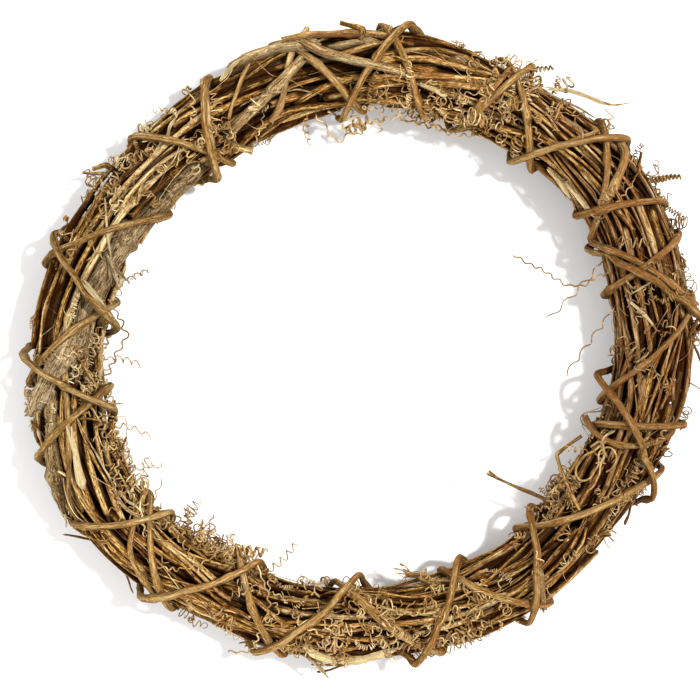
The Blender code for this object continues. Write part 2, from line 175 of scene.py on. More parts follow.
def carriedFrame(path):
    # tangent by differences, and a side direction carried along the path without twist
    tangent = np.gradient(path, axis=0)
    tangent /= np.linalg.norm(tangent, axis=1, keepdims=True) + tubes["least"]
    side = np.empty_like(path)
    start = (0.0, 0.0, 1.0) if abs(tangent[0][2]) < tubes["steep"] else (1.0, 0.0, 0.0)
    carried = np.cross(tangent[0], start)
    for i, along in enumerate(tangent):
        carried = carried - along * carried.dot(along)
        carried /= math.sqrt(carried.dot(carried))
        side[i] = carried
    return tangent, side, np.cross(tangent, side)


def spokes(turn, side, other):
    # cos(turn) * side + sin(turn) * other, for every place along and every turn
    return np.cos(turn)[None, :, None] * side[:, None] + np.sin(turn)[None, :, None] * other[:, None]


def helix(middle, phase, wide, high):
    # middle + wide * cos(phase) * side + high * sin(phase) * other
    _, side, other = carriedFrame(middle)
    return middle + (wide * np.cos(phase))[:, None] * side + (high * np.sin(phase))[:, None] * other


def closedTube(path, size, tone, grainShift, jag=0.0, peeled=0.0, seed=0):
    # rings of points: middle + size * (cos(turn) * side + sin(turn) * other). Size may differ
    # round a ring. Each end closes over three smaller rings, pushed in or out by up to jag.
    tangent, side, other = carriedFrame(path)
    sides = size.shape[1]
    turn = turnsRound(sides)
    caps, capPush = tubes["caps"], np.array(tubes["capPush"])[:, None]
    rows = np.clip(np.arange(-len(caps), len(path) + len(caps)), 0, len(path) - 1)
    scale = np.concatenate([caps, np.ones(len(path)), caps[::-1]])[:, None]
    wide = size[rows] * scale
    across = np.cos(turn) * tubes["ragged"], np.sin(turn) * tubes["ragged"], turn * 0 + seed
    ragged = softNoise(np.stack(across, -1), seed)
    push = np.zeros(wide.shape)
    push[:len(capPush)] = -capPush * jag * ragged
    push[-len(capPush):] = capPush[::-1] * jag * ragged[::-1]
    offset = wide[..., None] * spokes(turn, side, other)[rows]
    points = path[rows][:, None] + offset + push[..., None] * tangent[rows][:, None]
    lengthwise = lengthAlong(path)[rows][:, None] + push
    grain = np.stack([wide * np.cos(turn), wide * np.sin(turn), lengthwise + grainShift], axis=-1)
    cut = np.maximum(np.where(scale < 1, 1.0, 0.0), np.broadcast_to(peeled, size.shape)[rows])
    i, j = np.meshgrid(np.arange(len(rows) - 1), np.arange(sides), indexing="ij")
    a, b = i * sides + j, i * sides + (j + 1) % sides
    first, last = range(sides), range((len(rows) - 1) * sides, len(rows) * sides)
    return {
        "points": points.reshape(-1, 3), "grain": grain.reshape(-1, 3), "cut": cut.reshape(-1),
        "tone": np.full(cut.size, tone), "ends": [list(first)[::-1], list(last)],
        "quads": np.stack([a, b, b + sides, a + sides], axis=-1).reshape(-1, 4),
    }


def mark(mesh, label, values):
    # a value or a vector for every point, which the bark reads
    kind, field = ("FLOAT", "value") if values.ndim == 1 else ("FLOAT_VECTOR", "vector")
    mesh.attributes.new(label, kind, "POINT")
    mesh.attributes[label].data.foreach_set(field, values.ravel())


def place(name, data, spot=(0, 0, 0)):
    # an object of the scene
    thing = bpy.data.objects.new(name, data)
    thing.location = spot
    bpy.context.scene.collection.objects.link(thing)
    return thing


def addPiece(name, points, faces, marks, bark, replaced):
    # points in millimetres, with the bark's marks for each of them
    mesh = bpy.data.meshes.new(name)
    mesh.from_pydata((points * mm).tolist(), [], faces)
    for label, values in marks.items():
        mark(mesh, label, values)
    shadedMeshes.append((mesh, points))
    mesh.shade_smooth()
    mesh.materials.append(finishes[bark])
    piece = place(name, mesh)
    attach(piece, "root")
    if replaced:
        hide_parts(*replaced)
    return piece


def makePiece(name, parts, bark, replaced=()):
    # Joins closed parts in one mesh, with their grain, cut and tone. What would come under the
    # floor is pressed flat on it: heights z under a limit h become h * exp(z / h - 1).
    first, faces = 0, []
    for part in parts:
        faces += (part["quads"] + first).tolist()
        faces += [[corner + first for corner in end] for end in part["ends"]]
        first += len(part["points"])
    points, *values = (np.concatenate([part[key] for part in parts]) for key in ("points", *partMarks))
    low = np.minimum(points[:, 2] / ring["pressedFlat"] - 1, 0)
    points[:, 2] = np.maximum(points[:, 2], ring["pressedFlat"] * np.exp(low))
    piece = addPiece(name, points, faces, dict(zip(partMarks, values)), bark, replaced)
    piece.data.set_sharp_from_angle(angle=math.radians(tubes["smoothUpTo"]))


def markShelter():
    # Painted shade is how far each point lies under the bundle's surface, once all is laid: 0 on it, 1
    # well inside. Flank shade is how far it faces away from the outside: 0 outwards, 1 sideways. The bark
    # paints both as shade in the gaps and on the stems' sides.
    low, high = crust["flank"]
    for mesh, points in shadedMeshes:
        theta, out, up = toSection(points)
        turn, clock = np.arctan2(up, out), np.radians(theta)
        surface = crustAt(theta, np.degrees(turn) % 360, 2, "bound")
        mark(mesh, "shelter", eased((surface - np.hypot(out, up)) / crust["paintedShadeDepth"]))
        mark(mesh, "age", around(ring["ageing"], theta))
        normals = np.empty(points.size, np.float32)
        mesh.vertex_normals.foreach_get("vector", normals)
        x, y, z = normals.reshape(-1, 3).T
        facing = (x * np.sin(clock) + y * np.cos(clock)) * np.cos(turn) + z * np.sin(turn)
        mark(mesh, "flank", eased((high - facing) / (high - low)))


class Wire:
    # a shader socket; sums, differences and products of wires and numbers add Math nodes
    def __init__(self, recipe, socket):
        self.recipe, self.socket = recipe, socket

    def math(self, operation, first, second):
        return self.recipe.add("ShaderNodeMath", {"operation": operation}, {0: first, 1: second})

    def __add__(self, other):
        return self.math("ADD", self, other)

    def __radd__(self, other):
        return self.math("ADD", other, self)

    def __sub__(self, other):
        return self.math("SUBTRACT", self, other)

    def __rsub__(self, other):
        return self.math("SUBTRACT", other, self)

    def __mul__(self, other):
        return self.math("MULTIPLY", self, other)

    def __rmul__(self, other):
        return self.math("MULTIPLY", other, self)


class Recipe:
    # a material and its nodes
    def __init__(self, name):
        self.material = bpy.data.materials.new(name)
        self.material.use_nodes = True
        self.tree = self.material.node_tree
        self.shader = self.tree.nodes["Principled BSDF"]

    def add(self, kind, settings, sockets=None, output=0):
        # a node with its settings, a ramp's colours, and what its sockets are fed
        node = self.tree.nodes.new(kind)
        for key, value in settings.items():
            if key == "stops":
                for at, _ in value[2:]:
                    node.color_ramp.elements.new(at)
                for stop, (at, colour) in zip(node.color_ramp.elements, value):
                    stop.position, stop.color = at, colour
            else:
                setattr(node, key, value)
        for key, value in (sockets or {}).items():
            self.feed(node.inputs[key], value)
        return Wire(self, node.outputs[output])

    def feed(self, socket, value):
        # a link from a wire, or a plain value
        if isinstance(value, Wire):
            self.tree.links.new(value.socket, socket)
        else:
            socket.default_value = value

    def attribute(self, name, output=2):
        return self.add("ShaderNodeAttribute", {"attribute_name": name}, output=output)

    def stretched(self, vector, across, along):
        # the vector times a factor across the grain and one along it
        sockets = {0: vector, 1: (across, across, along)}
        return self.add("ShaderNodeVectorMath", {"operation": "MULTIPLY"}, sockets)

    def noise(self, vector, across, along, detail, roughness, distortion):
        values = {"Vector": self.stretched(vector, across, along), "Scale": 1.0, "Detail": detail}
        values.update({"Roughness": roughness, "Distortion": distortion})
        return self.add("ShaderNodeTexNoise", {}, values)

    def between(self, value, low, high):
        # 0 below low, 1 above high, and a smooth rise between them
        settings = {"interpolation_type": "SMOOTHSTEP"}
        return self.add("ShaderNodeMapRange", settings, {0: value, 1: low, 2: high, 3: 0.0, 4: 1.0})

    def blend(self, factor, first, second, mode="MIX"):
        settings = {"data_type": "RGBA", "blend_type": mode}
        return self.add("ShaderNodeMix", settings, {0: factor, 6: first, 7: second}, output=2)

    def set(self, **values):
        for key, value in values.items():
            self.feed(self.shader.inputs[key.replace("_", " ")], value)


# From a value shown on a screen to a linear one: a straight foot, then a power
screen = {"full": 255, "foot": 10, "slope": 12.92, "offset": 0.055, "whole": 1.055, "power": 2.4}


def linear(*colour):
    # a colour as it looks on screen turned to what shaders take, with full opacity
    shares = [v / screen["full"] for v in colour]
    foot = screen["foot"] / screen["full"]
    curved = [((v + screen["offset"]) / screen["whole"]) ** screen["power"] for v in shares]
    return *(c if v > foot else v / screen["slope"] for v, c in zip(shares, curved)), 1


# Bark finishes. Colours are as they look on screen, 0 to 255: the body's with their places from
# dark to light, then ruddy, grey, crease (also the colour of the painted shade) and pale wood. How fine
# the grain is, and how strongly streaks, creases, greying, glints (pale streaks that also serve as
# painted highlights), painted shade on the stems' sides and painted shade deep in the bundle show;
# bump is its height in millimetres.
barkColumns = (
    "slot", "body", "red", "grey", "crease", "pale", "fineness", "streaks", "creases", "greying", "bump",
    "outline", "hiding", "glints",
)
barks = {
    "cane": (
        "cane_bark", ((0, 76, 40, 5), (0.24, 130, 84, 27), (0.46, 176, 129, 60), (0.7, 213, 171, 100),
                      (1, 245, 220, 166)),
        (130, 72, 30), (150, 130, 88), (42, 15, 1), (244, 224, 174),
        1.0, 1.65, 0.58, 0.18, 0.4, 0.68, 0.93, 0.55,
    ),
    "binder": (
        "binder_bark", ((0, 80, 48, 16), (0.35, 134, 98, 49), (0.65, 175, 138, 83), (1, 214, 184, 132)),
        (134, 84, 40), (148, 130, 92), (48, 20, 3), (244, 224, 174),
        1.15, 1.0, 0.3, 0.4, 0.25, 0.5, 0.93, 0.4,
    ),
    "weathered": (
        "old_bark", ((0, 78, 52, 22), (0.28, 140, 109, 64), (0.52, 184, 152, 102), (0.76, 212, 184, 134),
                     (1, 238, 217, 172)),
        (146, 104, 62), (164, 146, 112), (34, 17, 4), (244, 224, 174),
        1.5, 1.4, 0.45, 0.5, 0.5, 0.5, 0.9, 0.4,
    ),
    "old": (
        "old_bark", ((0, 78, 52, 26), (0.3, 152, 120, 78), (0.6, 196, 165, 118), (1, 236, 213, 170)),
        (144, 102, 58), (160, 140, 104), (32, 17, 5), (248, 226, 174),
        1.5, 1.5, 0.55, 0.1, 0.7, 0.22, 0.6, 0.35,
    ),
    "tendril": (
        "tendril", ((0, 90, 56, 22), (0.35, 166, 124, 66), (0.7, 230, 198, 138), (1, 254, 238, 196)),
        (120, 78, 42), (150, 134, 104), (50, 30, 12), (240, 220, 176),
        1.0, 1.2, 0.3, 0.3, 0.1, 0.25, 0.9, 0.3,
    ),
}
barks = {name: dict(zip(barkColumns, row)) for name, row in barks.items()}
# Noises of every bark: pace across and along the grain, detail, roughness and distortion
barkNoises = {
    "broad": (0.42, 0.022, 3, 0.6, 0.3), "streak": (1.5, 0.09, 3, 0.65, 0), "fine": (3.6, 0.3, 2, 0.6, 0),
    "speck": (1.6, 0.55, 3, 0.7, 0), "patch": (0.16, 0.03, 3, 0.6, 0),
}
# Where each effect sets in and where it is full
barkLimits = {
    "ruddy": (0.58, 0.78), "greyed": (0.44, 0.62), "crease": (0.38, 0.5), "glints": (0.54, 0.68),
    "fibres": (0.35, 0.7), "cut": (0.35, 0.65), "aged": (0, 1.25), "dulled": (0, 1), "relief": (0.3, 0.62),
}
# How much of the others goes into each measure or effect, what is added to it, and its strength
barkShares = {
    "variedFine": 0.55, "variedSpeck": 1.2, "variedLess": 1.375, "shadeBroad": 1.3, "shadeTone": 0.6,
    "shadeLess": 0.49, "ruddyTone": 0.22, "ruddyAge": 0.1, "ruddy": 0.7, "greyedTone": 0.1,
    "creaseStreak": 0.7, "creaseSpeck": 0.3, "glintStreak": 0.45, "glintFine": 0.55, "wood": 0.6,
    "woodLeast": 0.25, "cutFine": 0.5, "cutLess": 0.25, "aged": 0.25, "dulled": 0.5, "bumpFine": 0.7,
    "bumpBroad": 0.5, "bumpSpeck": 0.8, "matt": 0.62, "mattFine": 0.3, "shine": 0.03,
}
# Bare wood under the bark, what aged bark is tinted with, and what dull bark is
barkTints = {"wood": linear(212, 176, 118), "aged": linear(60, 20, 5), "dulled": (0.62, 0.66, 0.75, 1)}


def barkFinish(name, look):
    # Streaks are noise stretched lengthwise on the grain mark, whose units are millimetres.
    # Painted shade: wood deep in the bundle and the stems' sides are darkened towards the crease colour
    # by the painted shade and flank shade marks.
    recipe, share, tint = Recipe(name), barkShares, barkTints
    # the crease colour is the bark's dark fissures and also the colour of the painted shade
    red, grey, creaseAndShadeColour, pale = (linear(*look[key]) for key in ("red", "grey", "crease", "pale"))
    grain = recipe.stretched(recipe.attribute("grain", 1), look["fineness"], look["fineness"])
    tone, cut, age = (recipe.attribute(label) for label in ("tone", "cut", "age"))
    shelter = recipe.attribute("shelter") * look["hiding"]
    flank = recipe.attribute("flank") * look["outline"]
    broad, streak, fine, speck, patch = (recipe.noise(grain, *row) for row in barkNoises.values())

    def effect(label, value):
        # from where it sets in to where it is full
        return recipe.between(value, *barkLimits[label])

    varied = streak + share["variedFine"] * fine + share["variedSpeck"] * speck - share["variedLess"]
    shade = varied * look["streaks"] + share["shadeBroad"] * broad
    shade = shade + share["shadeTone"] * tone - share["shadeLess"]
    stops = [(at, linear(*colour)) for at, *colour in look["body"]]
    colour = recipe.add("ShaderNodeValToRGB", {"stops": stops}, {0: shade})
    ruddy = effect("ruddy", patch + tone * share["ruddyTone"] + age * share["ruddyAge"])
    colour = recipe.blend(ruddy * share["ruddy"], colour, red)
    greyed = effect("greyed", broad - tone * share["greyedTone"])
    colour = recipe.blend(greyed * look["greying"], colour, grey)
    crease = 1 - effect("crease", streak * share["creaseStreak"] + speck * share["creaseSpeck"])
    colour = recipe.blend(crease * look["creases"], colour, creaseAndShadeColour)
    # glints: pale streaks along the grain, partly pale wood and partly painted highlights
    glints = effect("glints", streak * share["glintStreak"] + fine * share["glintFine"])
    colour = recipe.blend(glints * look["glints"], colour, pale)
    wood = recipe.blend(effect("fibres", fine) * share["wood"] + share["woodLeast"], tint["wood"], pale)
    colour = recipe.blend(effect("cut", cut + fine * share["cutFine"] - share["cutLess"]), colour, wood)
    colour = recipe.blend(effect("aged", age) * share["aged"], colour, tint["aged"], "MULTIPLY")
    colour = recipe.blend(effect("dulled", 0 - age) * share["dulled"], colour, tint["dulled"], "MULTIPLY")
    # painted shade: deep wood and the stems' flanks are blended to the crease colour
    colour = recipe.blend(shelter + flank - shelter * flank, colour, creaseAndShadeColour)
    height = effect("relief", streak) + fine * share["bumpFine"] + broad * share["bumpBroad"]
    height = height + speck * share["bumpSpeck"]
    sockets = {"Strength": 1.0, "Distance": look["bump"] * mm, "Height": height}
    bump = recipe.add("ShaderNodeBump", {}, sockets)
    recipe.set(Base_Color=colour, Roughness=share["matt"] + share["mattFine"] * fine, Normal=bump)
    recipe.set(Specular_IOR_Level=share["shine"])
    return recipe.material


finishes = {name: barkFinish(name + " bark", look) for name, look in barks.items()}
print("finishes made")

# How each kind of stem is finished over its course: spacing of its rings and their sides, ridges
# (number round the stem, depth), roughness, unevenness, least and greatest distance of joints,
# their swelling, how far it turns there, thickness as a share of the course's, raggedness of ends
stemColumns = (
    "spacing", "sides", "ridges", "rough", "uneven", "joints", "swelling", "zigzag",
    "thin", "jag",
)
stems = {
    "cane": (2.0, 14, ((5, 0.06), (8, 0.04)), 0.12, 0.08, (32, 78), 0.24, 1.0, 0.88, 1.6),
    "binder": (1.6, 12, ((4, 0.05), (7, 0.03)), 0.1, 0.14, (26, 60), 0.26, 0.7, 0.88, 1.0),
    "old": (0.9, 56, ((7, 0.035), (13, 0.03), (23, 0.025)), 0.16, 0.05, (34, 56), 0.12, 0.5, 1.0, 4.0),
    "gnarled": (1.1, 24, ((5, 0.05), (9, 0.03)), 0.12, 0.1, (20, 38), 0.3, 1.0, 1.0, 2.2),
    "shoot": (2.0, 9, ((4, 0.05),), 0.09, 0.1, (18, 50), 0.3, 0.8, 1.0, 1.2),
    "stub": (1.1, 16, ((4, 0.05),), 0.1, 0.06, (9, 24), 0.16, 0.4, 1.0, 0.8),
    "inner": (4.0, 7, (), 0.08, 0.1, (30, 70), 0.2, 0.8, 1.0, 0.5),
    "knobbly": (0.8, 36, ((5, 0.05), (9, 0.05), (14, 0.03)), 0.22, 0.16, (9, 16), 0.26, 0.7, 1.0, 3.0),
    "driftwood": (1.2, 20, ((5, 0.04), (9, 0.02)), 0.09, 0.06, (24, 50), 0.15, 0.6, 1.0, 2.0),
    "even": (1.6, 12, ((4, 0.03),), 0.06, 0.05, (30, 70), 0.2, 0.45, 1.0, 1.0),
}
stems = {name: dict(zip(stemColumns, row)) for name, row in stems.items()}
# The old stalk's knots: clock angle, turn round it, height as a share of the thickness, length
knots = {"old": ((286, 1.2, 0.42, 7.0), (281, 2.4, 0.3, 5.0), (312, 2.0, 0.25, 6.0), (268, 0.9, 0.2, 6.0))}
# What all stems share, in millimetres: how far they stray and turn at joints, how long their ends
# stay straight, the swelling's length behind and after a joint, the bud's place, length, height
# and narrowness, pace of the slow and of the rough noise, twist and pace of the ridges
growth = {
    "stray": 0.35, "turn": 0.6, "straightEnds": 8, "behind": 2.2, "after": 4.2, "budPast": 1.2,
    "budLength": 1.8, "budHeight": 1.1, "budNarrow": 2.2, "knotNarrow": 3, "slowPace": 0.045,
    "twist": 0.02, "ridgePace": 0.06, "ridgeLeast": 0.6, "ridgeMore": 0.4, "roughPace": (1.3, 1.3, 0.09),
    "finer": (2.2, 2.2, 2.6), "finerShare": 0.5, "seeds": (1, 500), "otherSeeds": (7, 3), "shifts": (0, 900),
}


def lobe(turn, side, narrow):
    # 1 on one side of the stem, falling off round it
    return np.exp(-(1 - np.cos(turn - side)) * narrow)


def grownStem(rows, kind, draw, tone, peeled=0.0):
    # rows are points and thickness. Joints come at uneven steps: the stem swells there, bears a
    # bud scar on one side and sets off in a slightly new direction. Its outline is a sum of
    # ridges and noise round the section, both drawn out lengthwise.
    look = stems[kind]
    rows = evenly(rows, look["spacing"])
    s = lengthAlong(rows[:, :3])
    steps = draw.uniform(*look["joints"], size=int(s[-1] / look["joints"][0]) + 2)
    joints = np.cumsum(steps) - draw.uniform(0, steps[0])
    bends = draw.normal(size=(len(joints), 3)) * growth["stray"]
    bends += np.where(np.arange(len(joints)) % 2, 1, -1)[:, None] * draw.normal(size=3) * growth["turn"]
    ends = eased(s / growth["straightEnds"]) * eased((s[-1] - s) / growth["straightEnds"])
    path = rows[:, :3] + look["zigzag"] * readAt(s, joints, bends) * ends[:, None]
    seed = float(draw.integers(*growth["seeds"]))
    s = s[:, None]
    past = s - joints
    swell = np.exp(-(past / np.where(past > 0, growth["after"], growth["behind"])) ** 2)
    slow = np.concatenate([s * growth["slowPace"], s * 0, s * 0], axis=1)
    relief = 1 + look["swelling"] * swell.sum(1)[:, None]
    relief = relief + look["uneven"] * softNoise(slow, seed + growth["otherSeeds"][0])[:, None]
    turn = turnsRound(look["sides"])
    budTurn = draw.uniform(0, fullTurn) + math.pi * np.arange(len(joints))
    bud = np.exp(-((past - growth["budPast"]) / growth["budLength"]) ** 2)
    budRound = lobe(turn[None, :], budTurn[:, None], growth["budNarrow"])
    relief = relief + growth["budHeight"] * look["swelling"] * bud @ budRound
    for count, depth in look["ridges"]:
        phase = draw.uniform(*anyPhase) + s * draw.uniform(-growth["twist"], growth["twist"])
        wave = np.sin(s * growth["ridgePace"] + draw.uniform(*anyPhase))
        strength = growth["ridgeLeast"] + growth["ridgeMore"] * wave
        relief = relief + depth * strength * np.cos(count * turn + phase)
    for at, side, height, length in knots.get(kind, ()):
        theta = toSection(path)[0]
        away = (theta - at) * middleRadius(theta) * math.pi / 180 / length
        relief = relief + height * (np.exp(-away ** 2)[:, None] * lobe(turn, side, growth["knotNarrow"]))
    spot = np.stack(np.broadcast_arrays(np.cos(turn), np.sin(turn), s), axis=-1) * growth["roughPace"]
    relief = relief + look["rough"] * softNoise(spot, seed)
    finer = softNoise(spot * growth["finer"], seed + growth["otherSeeds"][1])
    relief = relief + growth["finerShare"] * look["rough"] * finer
    size = look["thin"] * rows[:, 3][:, None] * relief
    return closedTube(path, size, tone, draw.uniform(*growth["shifts"]), look["jag"], peeled, seed)


def strand(rows, draw, sides=5, palest=1.0):
    # a plain round tube of rows of point and thickness
    size = np.broadcast_to(rows[:, 3:4], (len(rows), sides))
    return closedTube(rows[:, :3], size, draw.uniform(0, palest), draw.uniform(*growth["shifts"]))


def solidCorners(name):
    # a solid's corners in metres, one row for each
    corners = np.empty(len(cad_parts[name].data.vertices) * 3, np.float32)
    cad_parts[name].data.vertices.foreach_get("co", corners)
    return corners.reshape(-1, 3)


def courseOf(name, sides):
    # A stem's middle and thickness at each station, read from its solid: the corners of a ring
    # share a station, and their mean is its middle. Rings cut by side growth are bridged.
    corners = np.unique(np.round(solidCorners(name).astype(float) / mm, 3), axis=0)
    stations, samples = ring["stations"], ring["samples"]["solid"]
    step = 360 / stations
    station = np.round(toSection(corners)[0] / step).astype(int) % stations
    whole = np.flatnonzero(np.bincount(station, minlength=stations) == sides)
    gaps = np.diff(np.append(whole, whole[0] + stations))
    order = np.roll(whole, -1 - gaps.argmax())
    order = order + stations * (order < order[0])
    rows = []
    for at in order:
        ringCorners = corners[station == at % stations]
        middle = ringCorners.mean(0)
        _, out, up = toSection(middle[None])
        rows.append((out[0], up[0], np.linalg.norm(ringCorners - middle, axis=1).mean()))
    every = np.arange(order[0], order[-1] + 1)
    at = np.linspace(0, len(every) - 1, (len(every) - 1) * samples + 1)
    fine = curveThrough(readAt(every, order, rows), at)
    return np.column_stack([toSpace((every[0] + at) * step, fine[:, 0], fine[:, 1]), fine[:, 2]])


# The crust map: how far out the bundle's surface lies, by clock angle and angle round the
# section, so that whatever is laid on the bundle rests on what is already there. The roof map
# holds the height of its top, by clock angle and distance out. Bound is the surface of what the
# vines bind, without what lies over them; what it binds may bulge out between the vines. Tubes
# raise the map by points at a spacing and round their sides. A line laid on it takes shares of its
# highest neighbour and of the mean one. It may be pressed in by a share of its thickness, and is
# left out unless nearlyAll of it needs no more. Radius is the section's, for steps round it.
# the painted shade is full at its depth in millimetres, and the flank shade runs between two facings
crust = {
    "thetas": 720, "turns": 120, "reach": np.zeros((720, 120)), "paintedShadeDepth": 2.0, "bulge": 2.0,
    "pressed": 0.6, "nearlyAll": 0.85, "flank": (0.4, 0.86), "spacing": 0.7, "sides": 24, "highest": 0.55,
    "mean": 0.45, "radius": 17, "stiffness": 9,
}
# The roof's edge is the least height there; ends sink in over a length; a stem under the binders
# follows their arch nearly to the edge; and cells before, beside and behind are looked at too
roof = {
    "outs": 160, "step": 0.5, "height": np.zeros((720, 160)), "edge": 21.0, "sinkOver": 7, "archTo": 0.95,
    "alongCells": (-1, 0, 1), "acrossCells": (-2, 0, 2),
}


def cellOf(degrees, count):
    # the nearest of count cells round a full turn
    return np.round(np.asarray(degrees) / 360 * count).astype(int) % count


def roofCells(theta, out):
    # cells of the roof map by clock angle and distance out, the outermost ones for what is beyond
    k = np.round(out / roof["step"]).astype(int) + roof["outs"] // 2
    return cellOf(theta, crust["thetas"]), np.clip(k, 0, roof["outs"] - 1)


def addToCrust(rows):
    # a tube's surface points, close together, raise the map's cells that they fall in
    rows = evenly(rows, crust["spacing"])
    _, side, other = carriedFrame(rows[:, :3])
    offset = rows[:, 3][:, None, None] * spokes(turnsRound(crust["sides"]), side, other)
    points = (rows[:, None, :3] + offset).reshape(-1, 3)
    theta, out, up = toSection(points)
    cells = cellOf(theta, crust["thetas"]), cellOf(np.degrees(np.arctan2(up, out)) % 360, crust["turns"])
    np.maximum.at(crust["reach"], cells, np.hypot(out, up))
    np.maximum.at(roof["height"], roofCells(theta, out), points[:, 2])


def crustAt(theta, turn, spreadCells=1, layer="reach"):
    # the furthest surface within a cell or so of a place on the map
    i, j = cellOf(theta, crust["thetas"]), cellOf(turn, crust["turns"])
    found = 0
    near = range(-spreadCells, spreadCells + 1)
    for a in near:
        for b in near:
            found = np.maximum(found, crust[layer][(i + a) % crust["thetas"], (j + b) % crust["turns"]])
    return found


def windowed(values, width, pick):
    # a moving maximum or mean over width neighbours, with the ends repeated
    padded = np.pad(values, width // 2, mode="edge")
    return pick(np.lib.stride_tricks.sliding_window_view(padded, 2 * (width // 2) + 1), axis=-1)


def laidOnCrust(theta, turn, lift, stiffness=crust["stiffness"], underBinders=None):
    # points along a line on the map: it bridges dips as a springy stem does. Stems that the vines
    # bind, given with their thickness, stay inside the vines, or are left out if pressed too deep.
    bare = crustAt(theta, turn)
    highest, mean = windowed(bare, stiffness, np.max), windowed(bare, stiffness, np.mean)
    reach = windowed(crust["highest"] * highest + crust["mean"] * mean, stiffness, np.mean) + lift
    angle = np.radians(turn)
    if underBinders is not None:
        limit = ellipse(angle, halfWidth(theta), ring["height"] / 2) - underBinders + crust["bulge"]
        if np.quantile((reach - limit) / underBinders, crust["nearlyAll"]) > crust["pressed"]:
            return None
        reach = np.minimum(reach, limit)
    return toSpace(theta, reach * np.cos(angle), reach * np.sin(angle))


def spotOnCrust(theta, turn, lift):
    # one point of the surface: the middle one of three at the same place
    return laidOnCrust(np.full(3, theta), np.full(3, turn), lift, 3)[1]


def planCurve(keys, spacing=1.0):
    # a smooth line seen from above through keys of clock angle and distance from the middle, with
    # the height or thickness that may stand behind them
    keys = np.array(keys, float)
    rest = keys[:, 2:] if keys.shape[1] > 2 else np.zeros(len(keys))
    rows = np.column_stack([*flatSpot(*keys[:, :2].T), rest])
    at = np.linspace(0, len(rows) - 1, ring["samples"]["traced"] * len(rows))
    return evenly(curveThrough(rows, at), spacing)


def overTop(keys, lift, tuck, stiffness=crust["stiffness"], underBinders=None):
    # the line lies on the bundle's top; each end sinks in by its tuck
    path = planCurve(keys)
    theta, out, _ = toSection(path)
    i, k = roofCells(theta, out)
    bare = np.max([roof["height"][(i + a) % crust["thetas"], np.clip(k + b, 0, roof["outs"] - 1)]
                   for a in roof["alongCells"] for b in roof["acrossCells"]], axis=0)
    bare = windowed(np.maximum(bare, roof["edge"]), stiffness, np.max)
    s = lengthAlong(path)
    toFirst, toLast = 1 - eased(s / roof["sinkOver"]), 1 - eased((s[-1] - s) / roof["sinkOver"])
    height = windowed(bare, stiffness, np.mean) + lift - (tuck[0] * toFirst + tuck[1] * toLast)
    if underBinders is not None:
        across = np.clip(out / (halfWidth(theta) - underBinders), -roof["archTo"], roof["archTo"])
        arch = ring["height"] / 2 - underBinders + crust["bulge"]
        arch = ring["middle"] + arch * np.sqrt(1 - across ** 2)
        height = np.minimum(height, windowed(arch, stiffness, np.mean))
    return np.column_stack([path[:, :2], height])


# Canes and thick pieces follow their solids: sides of the solid's rings, then for the thick ones
# the kind of stem and the bark
canes = {"seed": 41, "sides": 5, "tone": (0, 1), "thickTone": (0.3, 0.7)}
thickPieces = {
    "old_stalk": (8, "old", "old"), "gnarled_cane": (5, "gnarled", "weathered"),
    "butt_cane": (5, "gnarled", "weathered"), "forked_cane": (5, "gnarled", "weathered"),
}
windingDraw = np.random.default_rng(canes["seed"])
caneNames = sorted(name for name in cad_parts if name.startswith("cane_"))
courses = {name: courseOf(name, canes["sides"]) for name in caneNames}
courses.update({name: courseOf(name, sides) for name, (sides, _, _) in thickPieces.items()})
for rows in courses.values():
    addToCrust(rows)
print("courses read:", len(courses))


def makeCanes():
    # a stem on the course of every cane and thick piece
    draw = windingDraw
    for name in caneNames:
        tone = draw.uniform(*canes["tone"])
        makePiece(name + "_bark", [grownStem(courses[name], "cane", draw, tone)], "cane", [name])
    for name, (_, kind, bark) in thickPieces.items():
        tone = draw.uniform(*canes["thickTone"])
        makePiece(name + "_bark", [grownStem(courses[name], kind, draw, tone)], bark, [name])


# Side shoots: tone, levels of rounding, and digits of a metre to which corners are the same one
shoots = {"tone": 0.5, "rounding": 2, "digits": 6}


def makeShoots():
    # side shoots with their tendrils: the solids themselves, rounded
    for name in sorted(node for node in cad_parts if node.startswith("tendril_shoot")):
        corners = np.round(solidCorners(name), shoots["digits"])
        corners, same = np.unique(corners, axis=0, return_inverse=True)
        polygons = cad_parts[name].data.polygons
        faces = [[int(same.ravel()[v]) for v in face.vertices] for face in polygons]
        faces = [face for face in faces if len(set(face)) == 3]
        points = corners.astype(float) / mm
        marks = {"grain": points, "cut": np.zeros(len(points)), "tone": np.full(len(points), shoots["tone"])}
        piece = addPiece(name + "_curls", points, faces, marks, "tendril", [name])
        rounding = piece.modifiers.new("rounding", "SUBSURF")
        rounding.levels = rounding.render_levels = shoots["rounding"]


